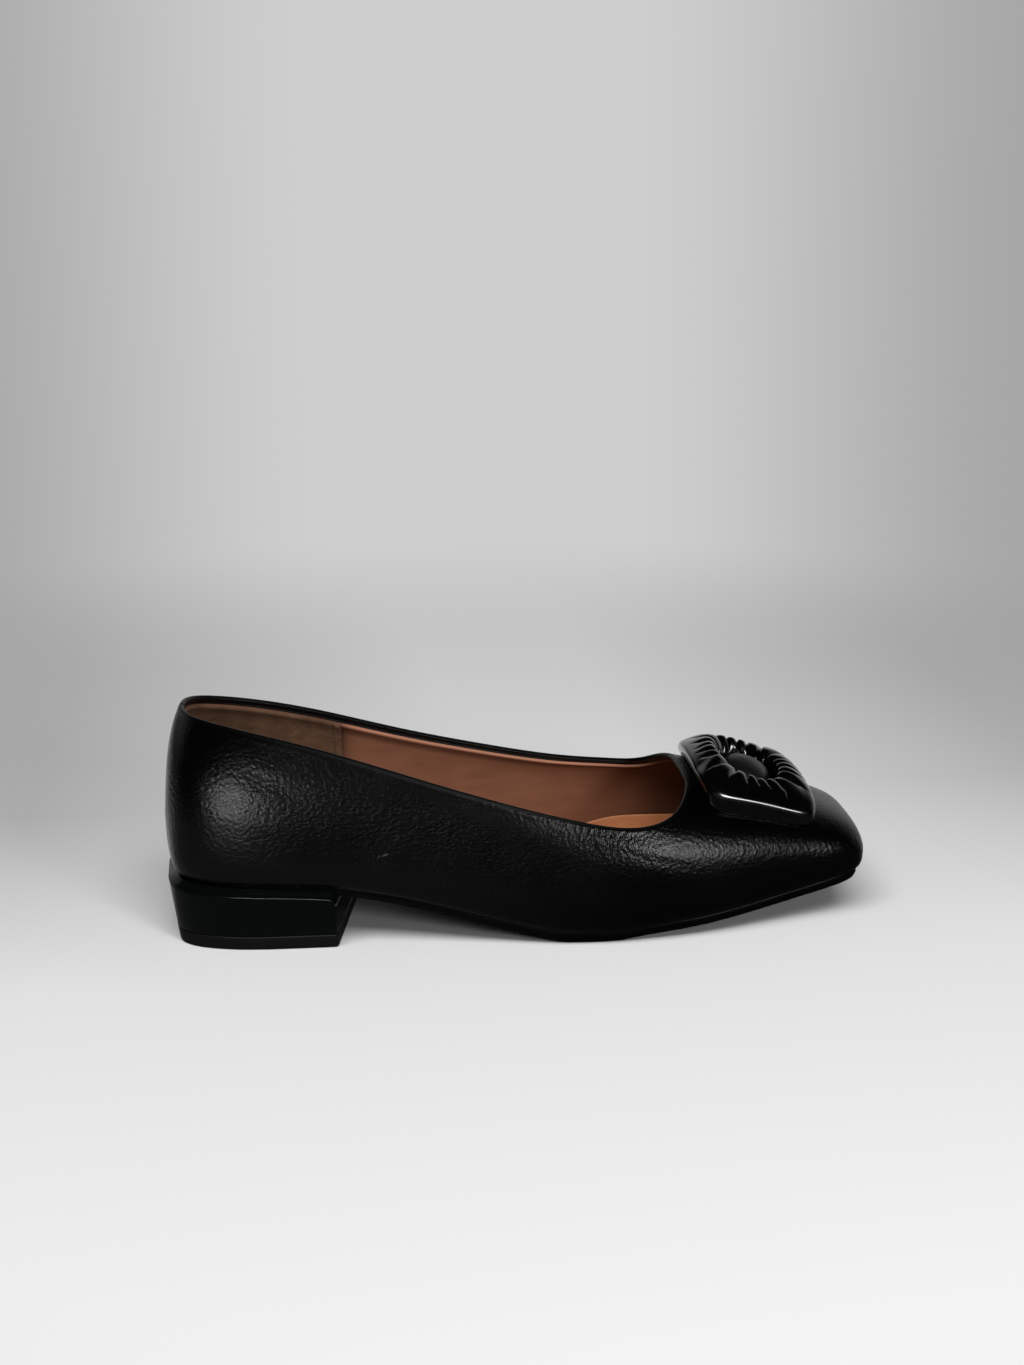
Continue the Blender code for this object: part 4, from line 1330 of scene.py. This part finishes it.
# Closed section carried round: hole oval to rounded square, height from the profile plus the pleats.
def makeOrnamentFrame():
    shape = padShape
    angle = 2.0 * np.pi * np.arange(shape["columns"])[None] / shape["columns"]
    cos, sin = np.cos(angle), np.sin(angle)
    tables = [np.array(shape[key]) for key in ("profile", "backProfile", "outerProfile")]
    knots = alongShare(tables[0][:, :2] * (shape["ringWidth"], 1.0))
    at = np.linspace(0.0, 1.0, shape["rows"])
    toOuter = easeStep(*shape["outerTurn"], sin)
    toBack = easeStep(*shape["backTurn"], cos) * (1.0 - toOuter)
    parts = (1.0 - toOuter - toBack, toBack, toOuter)
    way, height, gather = (sum(curveThrough(knots, table[:, k], at)[:, None] * part
                               for table, part in zip(tables, parts)) for k in range(3))
    under = way[-1:] + (way[:1] - way[-1:]) * np.linspace(0.0, 1.0, shape["underRows"])[1:-1, None]
    way = np.concatenate([way, under])
    height = np.concatenate([np.maximum(height, 0.0), np.zeros_like(under)])
    gather = np.concatenate([np.clip(gather, 0.0, 1.0), np.zeros_like(under)])
    power = shape["squareness"]
    reach = (np.abs(cos) ** power + np.abs(sin) ** power) ** (-1.0 / power)
    taper = np.where(sin < 0.0, shape["outerTaper"], shape["taper"])
    narrow = 1.0 - taper * reach * cos
    edge = np.stack([shape["half"][0] * reach * cos, shape["half"][1] * reach * sin * narrow], -1)
    hole = np.stack([shape["hole"][0] * cos, shape["hole"][1] * sin], -1)
    plan = hole + (edge - hole) * way[..., None]
    lean = 1.0 + shape["lean"] * plan[..., 1] / shape["half"][1]
    share = np.clip(way, 0.0, 1.0)
    thin = 1.0 - shape["toeThin"] * toOuter * plan[..., 0] / shape["half"][0]
    rise = height * lean * thin + pleatHeight(pleatAngle(angle, share), share, gather)
    rows = onVamp(plan + np.array(shape["centre"]), np.maximum(rise, 0.0))
    faces = gridFaces(len(rows), rows.shape[1], closeRows=True)
    piece = addPiece("ornamentFrame", rows, faces, finishes["patent"], "ornament_frame")
    return piece


# Button: an oval dome.
buttonShape = {
    "half": (8.0, 10.6),
    "columns": 160,
    "rows": 60,
    "ringWidth": 9.0,     # middle to edge, for the spacing of the profile's knots
    "profile": ((0.94, 0.0), (0.99, 1.6), (1.0, 3.2), (0.96, 4.8), (0.80, 6.3), (0.50, 7.3), (0.22, 7.8),
                (0.02, 7.9)),
}


# Profile turned about the button's middle on its oval, over the vamp.
def makeOrnamentButton():
    shape = buttonShape
    table = np.array(shape["profile"])
    knots = alongShare(table * (shape["ringWidth"], 1.0))
    at = np.linspace(0.0, 1.0, shape["rows"])
    share, height = (curveThrough(knots, table[:, k], at)[:, None] for k in range(2))
    angle = 2.0 * np.pi * np.arange(shape["columns"])[None] / shape["columns"]
    oval = np.stack([shape["half"][0] * np.cos(angle), shape["half"][1] * np.sin(angle)], -1)
    plan = oval * share[..., None]
    rows = onVamp(plan + np.array(padShape["centre"]), np.broadcast_to(height, plan.shape[:-1]))
    return closeRings("ornamentButton", rows, finishes["button"], "ornament_button")


makeOrnamentFrame()
makeOrnamentButton()
print("ornament done")

# Stage: a pale floor that fades into the backdrop on every side, in metres.
stageShape = {
    "half": 1.2,
    "drop": 0.0001,
    "sockets": {"Roughness": 0.9, "Specular IOR Level": 0.0},
    "fadeAbout": (0.095, 0.0, 0.0),
    "fade": (0.26, 0.62),
    "near": 0.80,           # floor tone towards the camera
    "far": (0.80, 0.53),    # floor tone behind the shoe, at the middle and the sides
    "farMiddle": 0.13,
    "farSpread": (0.04, 0.22),
    "farFrom": (-0.05, 0.12),
    # share of the floor's tone that gloss picks up: in front, beside the heel, beside the toe, behind
    "mirrored": (0.035, 0.22, 0.05, 1.0),
    "mirroredAlong": (0.05, 0.13),
    "mirroredBeside": (-0.14, -0.09),
    "mirroredBehind": (0.0, 0.06),
}


# Tone is the near tone plus a change behind the shoe that fades to the sides; gloss sees a share of it.
def makeFloor():
    shape = stageShape
    half, low = shape["half"], -shape["drop"]
    mesh = bpy.data.meshes.new("floor")
    mesh.from_pydata([(-half, -half, low), (half, -half, low), (half, half, low), (-half, half, low)], [],
                     [(0, 1, 2, 3)])
    finish, tree, shader, place = newFinish("floorPaper", shape["sockets"])
    parts = addNode(tree, "ShaderNodeSeparateXYZ", {"Vector": place}).outputs
    aside = sums(tree, "ABSOLUTE", sums(tree, "SUBTRACT", parts["X"], shape["farMiddle"]), 0.0)
    change = between(tree, aside, *shape["farSpread"], *(far - shape["near"] for far in shape["far"]))
    change = sums(tree, "MULTIPLY", change, between(tree, parts["Y"], *shape["farFrom"]))
    tone = sums(tree, "ADD", change, shape["near"])
    front, heelSide, toeSide, behind = shape["mirrored"]
    beside = between(tree, parts["X"], *shape["mirroredAlong"], heelSide - front, toeSide - front)
    beside = sums(tree, "MULTIPLY", beside, between(tree, parts["Y"], *shape["mirroredBeside"]))
    share = sums(tree, "ADD", beside, between(tree, parts["Y"], *shape["mirroredBehind"], front, behind))
    gloss = addNode(tree, "ShaderNodeLightPath").outputs["Is Glossy Ray"]
    lost = sums(tree, "MULTIPLY", gloss, sums(tree, "SUBTRACT", 1.0, share))
    tone = sums(tree, "MULTIPLY", tone, sums(tree, "SUBTRACT", 1.0, lost))
    tree.links.new(grey(tree, tone), shader.inputs["Base Color"])
    away = addNode(tree, "ShaderNodeVectorMath", {0: place, 1: shape["fadeAbout"]}, operation="SUBTRACT")
    reach = addNode(tree, "ShaderNodeVectorMath", {0: away.outputs[0]}, operation="LENGTH").outputs["Value"]
    tree.links.new(between(tree, reach, *shape["fade"], 1.0, 0.0, "SMOOTHSTEP"), shader.inputs["Alpha"])
    mesh.materials.append(finish)
    floor = bpy.data.objects.new("floor", mesh)
    bpy.context.scene.collection.objects.link(floor)


# Soft boxes: name, place, aim, size, watts, seen in gloss, and the pieces lit where not all are.
blackPieces = ("upperLeather", "heelBlock", "topLift", "outsole")
lamps = (
    ("keyBox", (0.61, -0.98, 0.38), (0.15, -0.03, 0.03), (0.24, 0.22), 4.0, True, ()),
    ("leftBox", (-0.185, -0.467, 0.017), (-0.01, -0.03, 0.055), (0.15, 0.042), 0.66, True, ("upperLeather",)),
    ("edgeStrip", (-0.06, -0.80, 0.84), (0.0, -0.03, 0.02), (0.60, 0.05), 12.0, True, ("heelBlock", "topLift")),
    ("crestStrip", (0.86, -0.86, 0.36), (0.18, -0.02, 0.04), (0.34, 0.16), 2.4, True, ("ornamentFrame",)),
    ("backBox", (-0.40, 1.10, 0.45), (0.05, 0.03, 0.04), (1.40, 0.80), 1.2, True, blackPieces),
    ("heelBox", (-1.05, 0.50, 0.40), (-0.03, 0.0, 0.05), (0.70, 0.70), 0.35, True, blackPieces),
    ("skyBox", (-0.18, -1.05, 1.68), (0.06, -0.05, 0.0), (1.9, 0.85), 40.5, False, ()),
)


# Each box faces its aim, with its long side level.
def makeLamps():
    for name, place, aim, size, watts, inGloss, pieces in lamps:
        lamp = bpy.data.lights.new(name, "AREA")
        lamp.shape = "RECTANGLE"
        lamp.size, lamp.size_y = size
        lamp.energy = watts
        holder = bpy.data.objects.new(name, lamp)
        holder.visible_glossy = inGloss
        if pieces:
            lit = bpy.data.collections.new(name)
            for piece in pieces:
                lit.objects.link(bpy.data.objects[piece])
            holder.light_linking.receiver_collection = lit
        bpy.context.scene.collection.objects.link(holder)
        back = np.array(place) - np.array(aim)
        back /= np.linalg.norm(back)
        right = np.cross((0.0, 0.0, 1.0), back)
        right /= np.linalg.norm(right)
        up = np.cross(back, right)
        holder.matrix_world = Matrix([[right[k], up[k], back[k], place[k]] for k in range(3)] + [[0, 0, 0, 1]])


# The eye sees a pale backdrop, dimmer at the sides. Gloss and scattered light see a dark room instead, a
# little less dark straight in front: gloss also sees a pale zone low behind, scattered light a weak fill.
roomShape = {
    "backdrop": 0.62,
    "sides": 0.38,
    "backdropMiddle": 0.11,
    "backdropSpread": (0.06, 0.27),
    "behind": 0.50,
    "behindFrom": (-0.1, 0.5),
    "behindLow": (0.62, 0.34),
    "behindAlong": (-0.5, -0.2),
    "front": 0.12,
    "frontFrom": (-0.82, -0.96),
    "frontLow": (0.42, 0.22),
    "dark": 0.003,
    "fill": 0.08,
}


# Each zone is a product of straight ramps on the parts of the direction.
def makeSurroundings():
    shape = roomShape
    world = bpy.data.worlds.new("studio")
    bpy.context.scene.world = world
    world.use_nodes = True
    tree = world.node_tree
    shade = tree.nodes["Background"]
    direction = addNode(tree, "ShaderNodeTexCoord").outputs["Generated"]
    parts = addNode(tree, "ShaderNodeSeparateXYZ", {"Vector": direction}).outputs
    path = addNode(tree, "ShaderNodeLightPath").outputs
    sideways = sums(tree, "ABSOLUTE", sums(tree, "SUBTRACT", parts["X"], shape["backdropMiddle"]), 0.0)
    backdrop = between(tree, sideways, *shape["backdropSpread"], shape["backdrop"], shape["sides"], "SMOOTHSTEP")
    behind = path["Is Glossy Ray"]
    for axis, key in (("Y", "behindFrom"), ("Z", "behindLow"), ("X", "behindAlong")):
        behind = sums(tree, "MULTIPLY", behind, between(tree, parts[axis], *shape[key]))
    ahead = sums(tree, "MULTIPLY", between(tree, parts["Y"], *shape["frontFrom"]),
                 between(tree, parts["Z"], *shape["frontLow"]))
    room = sums(tree, "ADD", weigh(tree, behind, shape["behind"], ahead, shape["front"]), shape["dark"])
    room = sums(tree, "ADD", room, sums(tree, "MULTIPLY", path["Is Diffuse Ray"], shape["fill"]))
    seen = path["Is Camera Ray"]
    mixed = weigh(tree, backdrop, seen, room, between(tree, seen, 0.0, 1.0, 1.0, 0.0))
    tree.links.new(grey(tree, mixed), shade.inputs["Color"])
    shade.inputs["Strength"].default_value = 1.0


# Camera at the photograph's place: distance, pitch and turn found from the shoe's outline.
cameraShape = {
    "place": (0.00255, -0.6891, 0.2990),
    "right": (0.99144, -0.13053, 0.0),
    "up": (0.03816, 0.28987, 0.95630),
    "back": (-0.12482, -0.94812, 0.29237),
    "lens": 54.07,
    "sensor": 36.0,
    "clip": 0.01,
}


# Its axes and place are the columns of its matrix.
def makeCamera():
    data = bpy.data.cameras.new("camera")
    data.sensor_width = cameraShape["sensor"]
    data.lens = cameraShape["lens"]
    data.clip_start = cameraShape["clip"]
    camera = bpy.data.objects.new("camera", data)
    bpy.context.scene.collection.objects.link(camera)
    axes = [cameraShape[k] for k in ("right", "up", "back", "place")]
    camera.matrix_world = Matrix([[axis[k] for axis in axes] for k in range(3)] + [[0, 0, 0, 1]])
    bpy.context.scene.camera = camera


makeFloor()
makeLamps()
makeSurroundings()
makeCamera()
bpy.context.scene.view_settings.view_transform = "Standard"
print("stage done")
